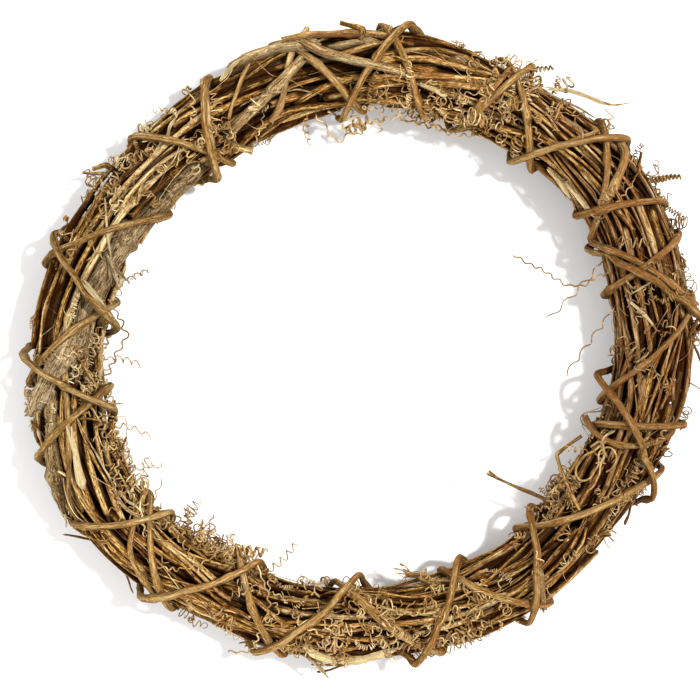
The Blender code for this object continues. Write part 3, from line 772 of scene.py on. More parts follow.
# Canes that run along the top in plain sight: thickness, tone, clock angle and distance. They are
# lifted by a share of their thickness, and their ends sink in.
laid = {"seed": 71, "lift": 0.4, "tuck": (4.5, 4.5), "stiffness": 25}
laidCanes = (
    (2.4, 0.1, ((351.1, 149.9), (358.2, 149.1), (7.6, 146))),
    (1.5, 0.6, ((352.6, 116.6), (356.6, 120.6), (4.5, 122.2), (14.3, 122))),
    (1.7, 0.5, ((345.5, 120.9), (353.5, 126), (0, 129), (6.2, 131))),
    (1.9, 0.55, ((352.2, 120.3), (4.3, 125.5), (14.9, 130), (27.5, 138.7))),
    (1.8, 0.5, ((0.1, 127.6), (11.8, 132.3), (26.5, 140.8))),
    (2.3, 0.1, ((351.4, 142.9), (0.4, 135.2), (6.1, 134.3), (15.2, 135.9))),
    (1.7, 0.6, ((3, 136.1), (12.2, 139.8), (17.7, 140.9), (26, 143.2))),
    (2.1, 0.55, ((2.5, 137.8), (8.6, 142.5), (17, 146.8), (27.3, 144.5))),
    (1.9, 0.6, ((356.1, 139.1), (3.8, 145), (10.6, 147.7), (15.6, 150.3), (18.6, 149.2), (28.7, 147.2))),
    (2.0, 0.2, ((276.5, 151), (286.3, 148.8), (292.7, 145.4), (303, 141.5))),
    (1.6, 0.4, ((280.6, 146), (286.6, 143.6), (292, 140.8), (302.1, 137))),
    (1.9, 0.1, ((270.5, 155), (279.9, 153), (290.6, 150.4), (300, 148))),
    (1.5, 0.5, ((263.5, 141), (254.6, 146), (247.2, 148.9), (239.7, 151.7))),
    (1.4, 0.3, ((263, 137), (254, 140.6), (245.5, 144.6), (237.6, 147.6))),
    (1.6, 0.45, ((264.5, 132.6), (251.5, 136.7), (243.5, 139.9), (235.4, 143.4))),
    (1.3, 0.7, ((262, 128.6), (250.5, 132.5), (241.5, 136.2), (232.4, 139))),
    (1.9, 0.7, ((257.7, 146.4), (247.2, 148.7), (236.7, 148.1), (220.9, 146.5))),
    (1.6, 0.9, ((59.6, 149.2), (73.2, 146.7), (86.5, 146.9), (99.5, 150.1))),
    (1.4, 0.8, ((63.8, 138.8), (80.1, 135.3), (94.1, 138.4), (107.9, 141.3))),
    (1.5, 0.9, ((70.8, 127.3), (85.9, 126.5), (100.8, 129.9), (115.9, 130))),
    (2.2, 0.15, ((64.2, 152.3), (75.6, 151.4), (86.6, 152.6), (97.5, 153.8))),
    (1.3, 0.95, ((59.2, 133), (71.4, 129.6), (86, 130.7), (102.3, 136))),
    (1.6, 0.5, ((182, 119), (166.5, 121.9), (153, 126), (136.9, 130.8))),
    (1.7, 0.7, ((188.2, 132.3), (171.7, 131.3), (157.1, 134.8), (139.8, 139.1))),
    (1.5, 0.6, ((170.3, 141), (156.5, 143.3), (144.4, 147), (130.5, 148.8))),
)


def layStem(rows, kind, draw, tone):
    # a stem that raises the map for what is laid next
    addToCrust(rows)
    return grownStem(rows, kind, draw, tone)


def makeLaidCanes():
    # one after the other, each on what is there
    draw = np.random.default_rng(laid["seed"])
    parts = []
    for radius, tone, keys in laidCanes:
        path = overTop(keys, radius * laid["lift"], laid["tuck"], laid["stiffness"], radius)
        parts.append(layStem(tube(path, radius), "even", draw, tone))
    makePiece("laid_canes", parts, "cane")


# Fine stems fill the gaps between the canes and run over them in families that lie side by side.
# Of a family: radius, degrees of the ring that it spans, degrees that it drifts round the section
# on the way and strays from that, its two waves, how far apart its stems are as a share of their
# thickness, where on the span they start and stop, and how many of their ends are loose
fineStems = {
    "seed": 17, "families": 110, "members": (3, 8), "clearOfThick": 1.0, "thickEvery": 4,
    "radius": (0.85, 1.6), "span": (30, 95), "drift": 45, "stray": 6, "wander": 9, "waves": (1.0, 2.3),
    "apart": 1.15, "starts": (0, 0.25), "stops": (0.8, 1.1), "perDegree": 1.25, "unlike": (0.75, 1.2),
    "thinner": 0.3, "looseEnds": 0.2,
    "tuckedFor": 0.12, "lift": 0.5, "tuck": 5.5, "stiffness": 21, "perPiece": 20, "ruddy": (45, 125),
    "ruddyTone": (0.6, 1), "tone": (0, 0.75), "unlikeTone": 0.24,
    "keepClear": {"old_stalk": (263, 330), "butt_cane": (290, 335)},
}
# Inner stems fill the bundle's middle. The last three run under gaps at the top left: clock angles
# and distance out from the section's middle
coreStems = {
    "count": 18, "more": 6, "moreSeed": 19, "radius": (1.8, 2.6), "span": (110, 200), "step": 3,
    "reach": 11.0, "nearest": 0.02, "wave": (0.2, 7), "drift": 60, "wider": 1.1, "tone": (0, 0.6),
    "under": ((322, 376, 12.0), (322, 376, 0.5), (322, 376, -12.5)), "level": -5.0, "points": 24,
}


def familyRows(draw):
    # lines on the crust map that drift round the section together with a slow wave; their ends
    # start and stop unevenly and dip inside
    look = fineStems
    span = draw.uniform(*look["span"])
    start, first = draw.uniform(0, 360), draw.uniform(0, 360)
    drift = draw.normal() * look["drift"]
    phases = draw.uniform(size=2)
    size = draw.uniform(*look["radius"])
    gap = math.degrees(2 * size * look["apart"] / crust["radius"])
    family = []
    for member in range(draw.integers(*look["members"])):
        begin, end = draw.uniform(*look["starts"]), draw.uniform(*look["stops"])
        t = np.linspace(begin, end, int(span * (end - begin) * look["perDegree"]))
        turn = first + gap * member + drift * t + draw.normal() * look["stray"] * t
        for waves, phase in zip(look["waves"], phases):
            turn = turn + look["wander"] / waves * np.sin(fullTurn * (waves * t + phase))
        u = (t - begin) / (end - begin)
        radius = size * draw.uniform(*look["unlike"]) * (1 - look["thinner"] * u)
        loose = draw.uniform(size=2) < look["looseEnds"]
        toFirst, toLast = 1 - eased(u / look["tuckedFor"]), 1 - eased((1 - u) / look["tuckedFor"])
        lift = look["lift"] * radius - look["tuck"] * (toFirst * (1 - loose[0]) + toLast * (1 - loose[1]))
        path = laidOnCrust(start + span * t, turn, lift, look["stiffness"], radius)
        if path is not None:
            family.append(tube(path, radius))
    ruddy = look["ruddy"][0] < start % 360 + span / 2 < look["ruddy"][1]
    return family, draw.uniform(*look["ruddyTone" if ruddy else "tone"])


def hidesThick(rows):
    # whether a stem would cover one of the thick pieces, seen from above
    for name, (first, last) in fineStems["keepClear"].items():
        thick = courses[name][::fineStems["thickEvery"]]
        theta = toSection(thick)[0]
        thick = thick[(theta > first) & (theta < last)]
        away = np.linalg.norm(rows[:, None, :2] - thick[None, :, :2], axis=-1) - thick[:, 3]
        over = rows[:, None, 2] > thick[None, :, 2]
        if ((away < fineStems["clearOfThick"]) & over).any():
            return True
    return False


def coreStemRows(draw):
    # a line deep in the bundle, seen only through gaps
    span = draw.uniform(*coreStems["span"])
    t = np.linspace(0, 1, int(span / coreStems["step"]))
    reach = coreStems["reach"] * math.sqrt(draw.uniform(coreStems["nearest"], 1))
    share, waves = coreStems["wave"]
    reach = reach * (1 + share * np.sin(waves * t + draw.uniform(*anyPhase)))
    turn = np.radians(draw.uniform(0, 360) + draw.normal() * coreStems["drift"] * t)
    out = reach * np.cos(turn) * coreStems["wider"]
    path = toSpace(draw.uniform(0, 360) + span * t, out, reach * np.sin(turn))
    return tube(path, draw.uniform(*coreStems["radius"]))


def makeInnerStems(draw):
    # stems on seeded lines in the bundle's middle, then those under the gaps
    more = np.random.default_rng(coreStems["moreSeed"])
    parts = []
    for by in [draw] * coreStems["count"] + [more] * coreStems["more"]:
        parts.append(grownStem(coreStemRows(by), "inner", by, by.uniform(*coreStems["tone"])))
    for start, end, out in coreStems["under"]:
        theta = np.linspace(start, end, coreStems["points"])
        path = toSpace(theta, out + np.sin(theta * coreStems["wave"][0]), coreStems["level"])
        rows = tube(path, coreStems["radius"][1])
        parts.append(grownStem(rows, "inner", more, more.uniform(*coreStems["tone"])))
    makePiece("inner_stems", parts, "cane")


def makeFineStems():
    # family by family, each stem on what is there; a piece takes so many stems
    draw = np.random.default_rng(fineStems["seed"])
    makeInnerStems(draw)
    parts, made = [], 0
    for _ in range(fineStems["families"]):
        family, tone = familyRows(draw)
        for rows in family:
            if hidesThick(rows):
                continue
            ownTone = np.clip(tone + draw.normal() * fineStems["unlikeTone"], 0, 1)
            parts.append(layStem(rows, "shoot", draw, ownTone))
            if len(parts) == fineStems["perPiece"]:
                made += 1
                makePiece(f"fine_stems_{made}", parts, "cane")
                parts = []
    makePiece("fine_stems_last", parts, "cane")


# Binding vines: clock angles where each one passes the ring's outer and inner edge
binders = {
    "radius": 1.9, "clear": 1.05, "rounding": 0.4, "crossingGap": 0.6, "liftFull": 8.0, "liftEnds": 15.0,
    "looseWraps": (109.7, 162.3), "hangSpan": 3.0, "steps": 30, "pull": 1.9, "push": 1.4, "evenedOver": 7,
    "sink": 0.85, "pulledAbove": (4, 6), "tone": (0.4, 0.6),
    "vineAOuter": (-16.4, 3.5, 26, 46.5, 70, 80.5, 103, 111.5, 143, 164.5, 194, 216, 251, 264, 285, 312.5),
    "vineAInner": (1, 16.5, 44, 64.5, 77.5, 101.5, 108, 139, 160, 186, 211, 235.5, 261.5, 280.5, 305, 325.5),
    "vineBInner": (-5.5, 24, 38, 58, 66.5, 95.5, 132.5, 154, 179.5, 204, 228.5, 255, 274, 319.5),
    "vineBOuter": (10, 32, 53, 64.5, 87, 118, 149.5, 171, 200.5, 222.5, 239, 270.5, 291.5, 331),
}


def wrapAngles(first, second):
    # between two edges, taken by turns from both lists, the turn round the section goes on evenly,
    # and the clock angle goes part evenly and part by a cosine, a straight line seen from above
    edges = np.ravel(np.column_stack([binders[first], binders[second]]))
    bend = math.pi * np.arange(binders["steps"]) / binders["steps"]
    share = binders["rounding"] * bend / math.pi + (1 - binders["rounding"]) * (1 - np.cos(bend)) / 2
    theta = (edges[:-1, None] + np.diff(edges)[:, None] * share).ravel()
    turn = (bend + math.pi * np.arange(len(edges) - 1)[:, None]).ravel()
    return np.append(theta, edges[-1]), np.append(turn, (len(edges) - 1) * math.pi)


def offOutline(theta, turn, off):
    # the section's ellipse, widened by a distance
    out = (halfWidth(theta) + off) * np.cos(turn)
    return toSpace(theta, out, (ring["height"] / 2 + off) * np.sin(turn))


def binderCourses():
    # the second vine rises over the first wherever they come near each other, by a cubic ease
    thetaA, turnA = wrapAngles("vineAOuter", "vineAInner")
    thetaB, turnB = wrapAngles("vineBInner", "vineBOuter")
    turnB = math.pi - turnB
    off = binders["radius"] + binders["clear"]
    rise = 2 * binders["radius"] + binders["crossingGap"]
    aside = np.abs(thetaA[:, None] - binders["looseWraps"]).min(1)
    hang = np.clip(2 - aside / binders["hangSpan"], 0, 1) * np.maximum(0, -np.sin(turnA)) ** 2
    pathA = offOutline(thetaA, turnA, off + rise * hang)
    nearest = np.linalg.norm(offOutline(thetaB, turnB, off)[:, None] - pathA[None], axis=-1).min(1)
    lift = rise * eased((binders["liftEnds"] - nearest) / (binders["liftEnds"] - binders["liftFull"]))
    pathB = offOutline(thetaB, turnB, off + lift)
    return {"binder_vine_a": (pathA, hang * 0), "binder_vine_b": (pathB, lift / rise)}


def tightened(path, held):
    # a vine is drawn in towards what it binds, where there is slack, but not where it is held off,
    # and gives way a little where the stems stand out
    theta, out, up = toSection(path)
    turn = np.degrees(np.arctan2(up, out)) % 360
    reach = np.hypot(out, up)
    surface = windowed(crustAt(theta, turn, 2), binders["evenedOver"], np.max)
    slack = reach - (surface + binders["radius"] * binders["sink"])
    level, over = binders["pulledAbove"]
    pull = np.clip(slack, -binders["push"], binders["pull"]) * (1 - held)
    pull = windowed(pull * eased((path[:, 2] - level) / over), binders["evenedOver"], np.mean)
    return toSpace(theta, out * (1 - pull / reach), up * (1 - pull / reach))


def makeBinders():
    # a stem on each vine's tightened course
    draw = windingDraw
    for name, (path, held) in binderCourses().items():
        rows = tube(tightened(path, held), binders["radius"])
        part = grownStem(rows, "binder", draw, draw.uniform(*binders["tone"]))
        makePiece(name + "_bark", [part], "binder", [name])


# Stubs of side growth: radius, swelling of the tip, then clock angle, distance from the ring's
# middle and height of each point, root first
stubs = (
    (0.95, 1.0, ((129.5, 112, 32), (131.5, 99, 33), (134, 84.5, 30))),
    (1.0, 0.1, ((126.1, 127.5, 42.5), (124.3, 120.5, 40), (118.2, 105.5, 34), (111.5, 113, 30))),
    (1.6, 0.4, ((163.5, 112.5, 30), (168.5, 109.5, 29))),
    (2.0, 0.3, ((328, 113, 33), (331.5, 107, 32))),
    (1.4, 0.3, ((306, 149, 31), (304, 153, 31))),
    (1.6, 0.2, ((360.5, 151.5, 34), (356.5, 155, 34))),
)
# How they are drawn: points for each key, share of the smooth way and of the straight one,
# thickness at the root and what it loses, the tip's share of the length
stubShape = {
    "seed": 5, "points": 12, "smooth": 0.25, "straight": 0.75, "root": 1.1, "loses": 0.4, "tip": 0.06,
    "tone": (0.3, 0.9),
}


def stubRows(radius, knob, keys):
    # straight runs from the nearest cane through the keys, rounded at the bends, thinner outwards
    theta, reach, height = np.array(keys).T
    way = np.stack([*flatSpot(theta, reach), height], axis=-1)
    spots = np.concatenate([rows[:, :3] for rows in courses.values()])
    root = spots[np.linalg.norm(spots - way[0], axis=1).argmin()]
    way = np.vstack([root, way])
    at = np.linspace(0, len(way) - 1, stubShape["points"] * len(way))
    straight = readAt(at, range(len(way)), way)
    path = stubShape["smooth"] * curveThrough(way, at) + stubShape["straight"] * straight
    t = at / at[-1]
    tip = 1 + knob * np.exp(-((1 - t) / stubShape["tip"]) ** 2)
    return tube(path, radius * (stubShape["root"] - stubShape["loses"] * t) * tip)


def makeStubs():
    # a stem on each stub's way
    draw = np.random.default_rng(stubShape["seed"])
    parts = [grownStem(stubRows(*stub), "stub", draw, draw.uniform(*stubShape["tone"])) for stub in stubs]
    makePiece("side_stubs", parts, "cane")


# Rough stalks over the canes: the old stalk's split foot, and the knobbly one below it. How deep
# they are sunk, as a share of their thickness, tone, kind of stem, bark, and clock angle, distance
# and thickness
roughStalks = {
    "stalk_foot": (0.45, 0.6, "old", "old", ((272.5, 137, 5.5), (268.5, 141.5, 6), (264.5, 147.5, 5.8),
        (261.5, 153, 5), (259.3, 157.5, 3.6))),
    "second_stalk": (0.1, 0.25, "knobbly", "weathered", ((262.5, 145.5, 2.1), (260.8, 146.6, 2.2),
        (257.8, 149, 2.3), (254.9, 151.4, 2.6), (251.4, 153.7, 3.6), (248, 155.6, 4.3),
        (245.4, 157.6, 3.6), (242.7, 159.6, 2.2), (240, 162.2, 0.9))),
}
stalkTuck = (2.0, 1.0)
# A tendril wound tightly round the second stalk: from and to as a share of its length, spacing of
# the stalk's points and of its own, unevenness of its winding and how often that comes
stalkWraps = {
    "from": 0.08, "to": 0.46, "turns": 9.0, "thick": 0.55, "clear": 0.4, "spacing": (0.25, 0.6),
    "uneven": (0.012, 23), "sides": 6, "palest": 0.25,
}
# Stems that lie over the top in plain sight: kind of stem, thickness, tone, how far the ends are
# tucked in, and clock angle and distance from the ring's middle along each
topLook = {"seed": 73, "lift": 0.7}
topStems = {
    "double_right_of_top": ("binder", 1.5, 0.7, (3, 3), ((28.1, 150.5), (26.8, 136), (25, 121.9))),
    "second_of_pair": ("binder", 1.4, 0.5, (3, 2), ((42.9, 127.3), (45.3, 142), (47.4, 152.9))),
    "low_double": ("binder", 1.4, 0.6, (2, 2), ((182.9, 113.7), (174.1, 129.7), (167, 148.9))),
    "flat_vine": ("binder", 2.1, 0.8, (2, 2), ((51.4, 158.2), (54, 153), (56.7, 142.3), (60.9, 128))),
    "vine_under": ("binder", 1.9, 0.5, (3, 3), ((65.4, 121.6), (73.3, 139.1), (82.6, 160.8))),
    "loop_low_right": ("binder", 1.7, 0.4, (2, 2), ((106.8, 112.4), (109.8, 117.9), (110.7, 127.7),
        (109.8, 136.6), (108, 144.7), (105.3, 153), (102.7, 153))),
    "grey_vine": ("driftwood", 1.6, 0.2, (2, 3), ((135.2, 116.1), (139.2, 128.2), (144.8, 151.6))),
    "thin_upper_left": ("binder", 1.2, 0.6, (2, 2), ((339.3, 146), (335, 135), (330.2, 125.3))),
    "red_upper_left": ("binder", 1.6, 0.95, (2, 2), ((350.7, 154.8), (346.7, 142.4), (342.3, 122.4),
        (338.7, 116))),
    "red_left": ("binder", 1.6, 0.95, (3, 3), ((329.8, 147.8), (327.2, 132.6), (323.3, 116.7))),
    "low_left_vine": ("binder", 1.6, 0.5, (2, 2), ((219.6, 151.9), (227.2, 146.5), (231.6, 137.2),
        (236.8, 122.1))),
    "turned_vine": ("binder", 1.5, 0.4, (2, 2), ((263.2, 140.9), (258.2, 142), (252.6, 145.1),
        (247.4, 149.6), (243.3, 154.5), (240.4, 156.6), (238.3, 156.2))),
    "cut_stub": ("binder", 1.7, 0.55, (-5.0, -2.0), ((319.8, 116.5), (323.3, 114.6), (327, 112.9))),
    "grey_top": ("driftwood", 2.9, 0.8, (1, 2), ((335.3, 146), (339.4, 147.3), (343.4, 147.8),
        (348, 147.2), (352, 145))),
    "grey_slanting": ("driftwood", 2.5, 0.5, (2, 2), ((348.6, 139.4), (343.1, 131.3), (336.3, 124.3),
        (328.3, 119.7))),
    "crook": ("driftwood", 2.2, 0.45, (2, 2), ((348.9, 148.5), (352.2, 141.9), (357.2, 136.9),
        (2.4, 134.2), (9.2, 132.2))),
    "upper_outer": ("binder", 1.9, 0.6, (3, 3), ((345.9, 149.9), (353.3, 150.2), (0.6, 150.2),
        (6.6, 148.5))),
    "bud_stem": ("binder", 1.0, 0.4, (0, 3), ((168.9, 107.8), (164.9, 113.4), (161, 119.3))),
}


def makeStalkWraps(rows, draw):
    # a helix round the stalk, just off its bark
    first, last = (int(stalkWraps[end] * len(rows)) for end in ("from", "to"))
    part = evenly(rows[first:last], stalkWraps["spacing"][0])
    u = np.linspace(0, 1, len(part))
    share, waves = stalkWraps["uneven"]
    phase = fullTurn * stalkWraps["turns"] * (u + share * np.sin(waves * u))
    off = part[:, 3] + stalkWraps["clear"]
    wrap = evenly(tube(helix(part[:, :3], phase, off, off), stalkWraps["thick"]), stalkWraps["spacing"][1])
    makePiece("stalk_wraps", [strand(wrap, draw, stalkWraps["sides"], stalkWraps["palest"])], "tendril")


def makeTopStems():
    # the rough stalks first, then what lies over them, each on what is there
    draw = np.random.default_rng(topLook["seed"])
    crust["bound"] = crust["reach"].copy()
    for name, (sunk, tone, kind, bark, keys) in roughStalks.items():
        thick = planCurve(keys)[:, 2]
        path = overTop([key[:2] for key in keys], 0.0, stalkTuck)
        path[:, 2] += (0.5 - sunk) * thick - 0.5 * thick.max()
        rows = tube(path, thick)
        makePiece(name, [layStem(rows, kind, draw, tone)], bark)
    makeStalkWraps(rows, draw)
    parts = {"binder": [], "driftwood": []}
    for kind, radius, tone, tuck, keys in topStems.values():
        rows = tube(overTop(keys, radius * topLook["lift"], tuck), radius)
        parts[kind].append(layStem(rows, kind, draw, tone))
    makePiece("top_vines", parts["binder"], "binder")
    makePiece("top_old_stems", parts["driftwood"], "weathered")


# Short broken side twigs: radius, length, lean out of the bundle in degrees, depth of the root,
# where round the section they stand, how far they lean across, how they bend, and their taper
twigEnds = {
    "seed": 97, "count": 70, "radius": (0.5, 1.3), "length": (5, 15), "lean": (5, 45), "root": 3.0,
    "turn": (-40, 220), "across": 0.35, "bend": 1.2, "points": 8, "thinner": 0.3, "looseTip": 0.55,
}
# Twigs in plain sight: thickness, tone, and clock angle, distance and height along each
looseTwigs = {
    "bottom_twig": (0.8, 0.0, ((180, 146, 26), (184.5, 152, 22), (187.5, 156.5, 18))),
    "bottom_twig_fork": (0.6, 0.0, ((183.6, 151.3, 22), (186.4, 152.3, 20), (188.6, 153, 19))),
    "outer_left_twig": (1.0, 0.2, ((304.5, 147, 33), (303.2, 152, 31), (302.4, 156.5, 29))),
    "left_loop": (0.95, 0.1, ((260.5, 151, 30), (258.7, 154.4, 30), (257.2, 158.4, 28), (255.4, 160, 26),
        (253.3, 158.9, 26), (251, 156, 28))),
    "left_twig": (0.7, 0.1, ((256, 136, 38), (255.4, 131, 37), (253.8, 125, 33))),
    "left_bud_twig": (0.6, 0.3, ((256.5, 124, 34), (257.3, 119.5, 30), (257, 116, 28))),
}


def directions(theta, turn):
    # at a place of the surface: along the ring, and square out of the bundle
    a, b = math.radians(theta), math.radians(turn)
    outward = np.array((math.sin(a) * math.cos(b), math.cos(a) * math.cos(b), math.sin(b)))
    return np.array((math.cos(a), -math.sin(a), 0)), outward


def twigEndRows(draw):
    # from a root in the bundle outwards, leaned along the ring either way, and slightly bent
    theta, turn = draw.uniform(0, 360), draw.uniform(*twigEnds["turn"])
    base = spotOnCrust(theta, turn, -twigEnds["root"])
    along, outward = directions(theta, turn)
    along = along * draw.choice([-1, 1])
    across = np.cross(along, outward) * draw.normal() * twigEnds["across"]
    lean = math.radians(draw.uniform(*twigEnds["lean"]))
    length = draw.uniform(*twigEnds["length"])
    t = np.linspace(0, 1, twigEnds["points"])[:, None]
    way = math.cos(lean) * along + math.sin(lean) * outward + across
    bend = draw.normal(size=3) * twigEnds["bend"] * t ** 2
    path = base + way * t * (length + twigEnds["root"]) + bend
    return tube(path, draw.uniform(*twigEnds["radius"]) * (1 - twigEnds["thinner"] * t[:, 0]))


def makeTwigEnds():
    # seeded ones all round, then those in plain sight, thinner towards the tip
    draw = np.random.default_rng(twigEnds["seed"])
    parts = [grownStem(twigEndRows(draw), "shoot", draw, draw.uniform()) for _ in range(twigEnds["count"])]
    for radius, tone, keys in looseTwigs.values():
        path = planCurve(keys)[:, :3]
        rows = tube(path, radius * np.linspace(1, twigEnds["looseTip"], len(path)))
        parts.append(grownStem(rows, "shoot", draw, tone))
    makePiece("twig_ends", parts, "cane")


# Tendrils: radius of the coil, rise in one turn, turns, how flat the coil is, thickness
curlColumns = ("coil", "pitch", "turns", "flat", "thick")
curlKinds = {
    "spring": ((1.1, 1.8), (0.95, 1.7), (5, 12), (0.8, 1.0), 0.36),
    "loose": ((1.7, 3.3), (2.6, 5.0), (2.5, 5.5), (0.5, 1.0), 0.42),
    "wave": ((0.8, 1.6), (4.0, 7.5), (4, 8), (0.15, 0.5), 0.36),
    "knotted": ((1.2, 1.7), (1.5, 2.0), (4, 7), (0.7, 1.0), 0.6),
    "bare": ((0.1, 0.3), (6.0, 9.0), (2, 4), (0.5, 1.0), 0.42),
    "crook": ((2.4, 4.2), (2.0, 4.5), (1.2, 3.2), (0.5, 1.0), 0.5),
}
curlKinds = {name: dict(zip(curlColumns, row)) for name, row in curlKinds.items()}
# What all coils share: points in a turn and besides, unevenness of a loose and of a steady one,
# changes besides one for each turn, least winding speed, how many turn back half way and how
# softly, how fast they open and what size and thickness they lose, and the least height
coils = {
    "perTurn": 12, "besides": 10, "uneven": 0.55, "steady": 0.12, "spare": 4, "slowest": 0.2,
    "turnBack": 0.35, "softly": 0.0008, "opens": 3, "narrower": 0.35, "unlike": (0.75, 1.2),
    "thinner": 0.45, "least": 0.5,
}
# Lines that curls follow: step and stiffness over the surface, bend, lift as a share of the coil;
# and off it, depth of the root, step, what is left of the first direction, how far the line
# strays and waves, and its least height
axes = {
    "step": 0.8, "stiffness": 5, "bend": 1.9, "lift": (0.2, 0.8), "root": -1.0, "freeStep": 1.2, "points": 8,
    "fades": 0.4, "stray": 0.5, "wave": (0.3, 5), "least": 3.5,
}


def coilAlong(axis, kind, draw, steady=False):
    # a helix round the axis; its size and its winding speed change from turn to turn, it opens
    # over its first turn, and on some the winding turns back half way
    look = curlKinds[kind]
    s = lengthAlong(axis)
    turns = s[-1] / draw.uniform(*look["pitch"])
    at = np.linspace(0, s[-1], int(turns * coils["perTurn"]) + coils["besides"])
    u = at / s[-1]
    uneven = coils["steady" if steady else "uneven"]
    changes = draw.uniform(1 - uneven, 1 + uneven, size=(int(turns) + coils["spare"], 2))
    change = curveThrough(changes, u * (len(changes) - 1))
    wound = np.cumsum(np.maximum(change[:, 0], coils["slowest"]))
    wound = (wound - wound[0]) / (wound[-1] - wound[0])
    if draw.uniform() < coils["turnBack"]:
        wound = np.sqrt((wound - 0.5) ** 2 + coils["softly"])
    phase = draw.choice([-1, 1]) * fullTurn * turns * wound + draw.uniform(*anyPhase)
    size = draw.uniform(*look["coil"]) * change[:, 1] * np.minimum(1, coils["opens"] * u)
    size = size * (1 - coils["narrower"] * u)
    path = helix(readAt(at, s, axis), phase, size, draw.uniform(*look["flat"]) * size)
    path[:, 2] = np.maximum(path[:, 2], coils["least"])
    return tube(path, look["thick"] * draw.uniform(*coils["unlike"]) * (1 - coils["thinner"] * u))


def surfaceAxis(theta, turn, heading, bend, length, lift):
    # a line that sets off over the crust at a heading and bends evenly as it goes
    step = axes["step"]
    s = np.arange(0, length + step, step)
    way = heading + bend * s / length
    theta = theta + np.degrees(np.cumsum(np.cos(way)) * step / middleRadius(theta))
    turn = turn + np.degrees(np.cumsum(np.sin(way)) * step / crust["radius"])
    return laidOnCrust(theta, turn, lift, axes["stiffness"])


def freeAxis(theta, turn, outward, length, draw):
    # a line that leaves the crust: it starts along the given direction and strays more and more
    s = np.linspace(0, 1, max(axes["points"], int(length / axes["freeStep"])))
    way = np.outer(1 - axes["fades"] * s, outward) + axes["stray"] * np.outer(s, draw.normal(size=3))
    share, waves = axes["wave"]
    way += share * np.outer(np.sin(waves * s + draw.uniform(*anyPhase)), draw.normal(size=3))
    way /= np.linalg.norm(way, axis=1, keepdims=True)
    path = spotOnCrust(theta, turn, axes["root"]) + np.cumsum(way, axis=0) * length / len(s)
    path[:, 2] = np.maximum(path[:, 2], axes["least"])
    return path


def crustCurl(theta, turn, draw):
    # a curl round a line over the surface, long enough for its turns
    kind = randomKind(draw)
    look = curlKinds[kind]
    length = draw.uniform(*look["turns"]) * np.mean(look["pitch"])
    lift = look["coil"][1] * draw.uniform(*axes["lift"])
    axis = surfaceAxis(theta, turn, draw.uniform(0, fullTurn), draw.normal() * axes["bend"], length, lift)
    return strand(coilAlong(axis, kind, draw), draw)


def freeCurl(theta, turn, length, draw, palest):
    # it starts square to the bundle's surface there, leaned along the ring
    length = length * draw.uniform(*standing["length"])
    kind = randomKind(draw)
    along, outward = directions(theta, turn)
    outward = outward + draw.normal() * standing["lean"] * along
    return strand(coilAlong(freeAxis(theta, turn, outward, length, draw), kind, draw), draw, palest=palest)


# Clumps of curls: clock angle, turn round the section (0 outermost, 90 on top, 180 innermost),
# spread of both, number of curls lying on the bundle, and number standing off it with their length
clumps = {
    "top_middle": (2, 158, 5, 10, 8, 4, 12),
    "top_right": (20, 130, 5, 12, 20, 3, 9),
    "top_right_edge": (31, 96, 6, 30, 24, 4, 12),
    "outer_upper_right": (33, 25, 5, 18, 8, 4, 14),
    "outer_right": (62, 15, 4, 16, 6, 5, 16),
    "right_middle": (84, 90, 9, 50, 10, 1, 10),
    "lower_right": (122, 128, 9, 26, 8, 3, 12),
    "lower_right_inner": (128, 160, 4, 14, 16, 8, 9),
    "lower_right_outer": (118, 48, 3.5, 14, 18, 2, 8),
    "bottom_right": (159, 80, 7, 40, 22, 3, 10),
    "bottom_middle": (176, 100, 10, 40, 34, 3, 10),
    "bottom_left": (200, 100, 7, 45, 14, 3, 12),
    "lower_left_inner": (217, 162, 8, 10, 22, 26, 15),
    "left_inner": (248, 160, 7, 20, 22, 12, 8),
    "left_stalk_foot": (264, 142, 4, 9, 18, 2, 8),
    "left_inner_waves": (272, 170, 8, 12, 6, 4, 12),
    "upper_left": (300, 60, 8, 40, 14, 4, 10),
    "upper_left_inner": (319, 110, 5, 16, 11, 3, 9),
    "outer_upper_left": (313, 30, 8, 22, 10, 6, 12),
    "bottom_pocket": (182, 66, 4, 4, 12, 0, 8),
}
# How pale the curls of a clump may be, where they are duller than elsewhere
dullClumps = {"lower_left_inner": 0.35}
# Curls that stand off: their spread round the section, length and lean along the ring
standing = {"spread": 0.6, "length": (0.5, 1.3), "lean": 0.6}
# Single curls: their number, where they may lie and where they may not, and shares of their kinds,
# which the clumps have too
scattered = {
    "seed": 29,
    "count": 90,
    "theta": (20, 380),
    "turn": (-30, 210),
    "clear": ((340, 380, 40, 135), (262, 322, 60, 160), (222, 240, 60, 140)),
    "kinds": ("spring", "loose", "wave", "crook"), "shares": (0.14, 0.42, 0.2, 0.24),
}


def randomKind(draw):
    # a kind of curl by its share
    return str(draw.choice(scattered["kinds"], p=scattered["shares"]))


def makeCurls():
    # clump by clump, scattered round its place by a normal law, then the single ones
    draw = np.random.default_rng(scattered["seed"])
    for name, (theta, turn, wide, deep, lying, off, length) in clumps.items():
        parts = []
        for _ in range(lying):
            parts.append(crustCurl(theta + draw.normal() * wide, turn + draw.normal() * deep, draw))
        for _ in range(off):
            at = theta + draw.normal() * wide, turn + draw.normal() * deep * standing["spread"]
            parts.append(freeCurl(*at, length, draw, dullClumps.get(name, 1.0)))
        makePiece("curls_" + name, parts, "tendril")
    parts = []
    for _ in range(scattered["count"]):
        theta, turn = draw.uniform(*scattered["theta"]), draw.uniform(*scattered["turn"])
        if not any(a < theta < b and c < turn < d for a, b, c, d in scattered["clear"]):
            parts.append(crustCurl(theta, turn, draw))
    makePiece("curls_scattered", parts, "tendril")


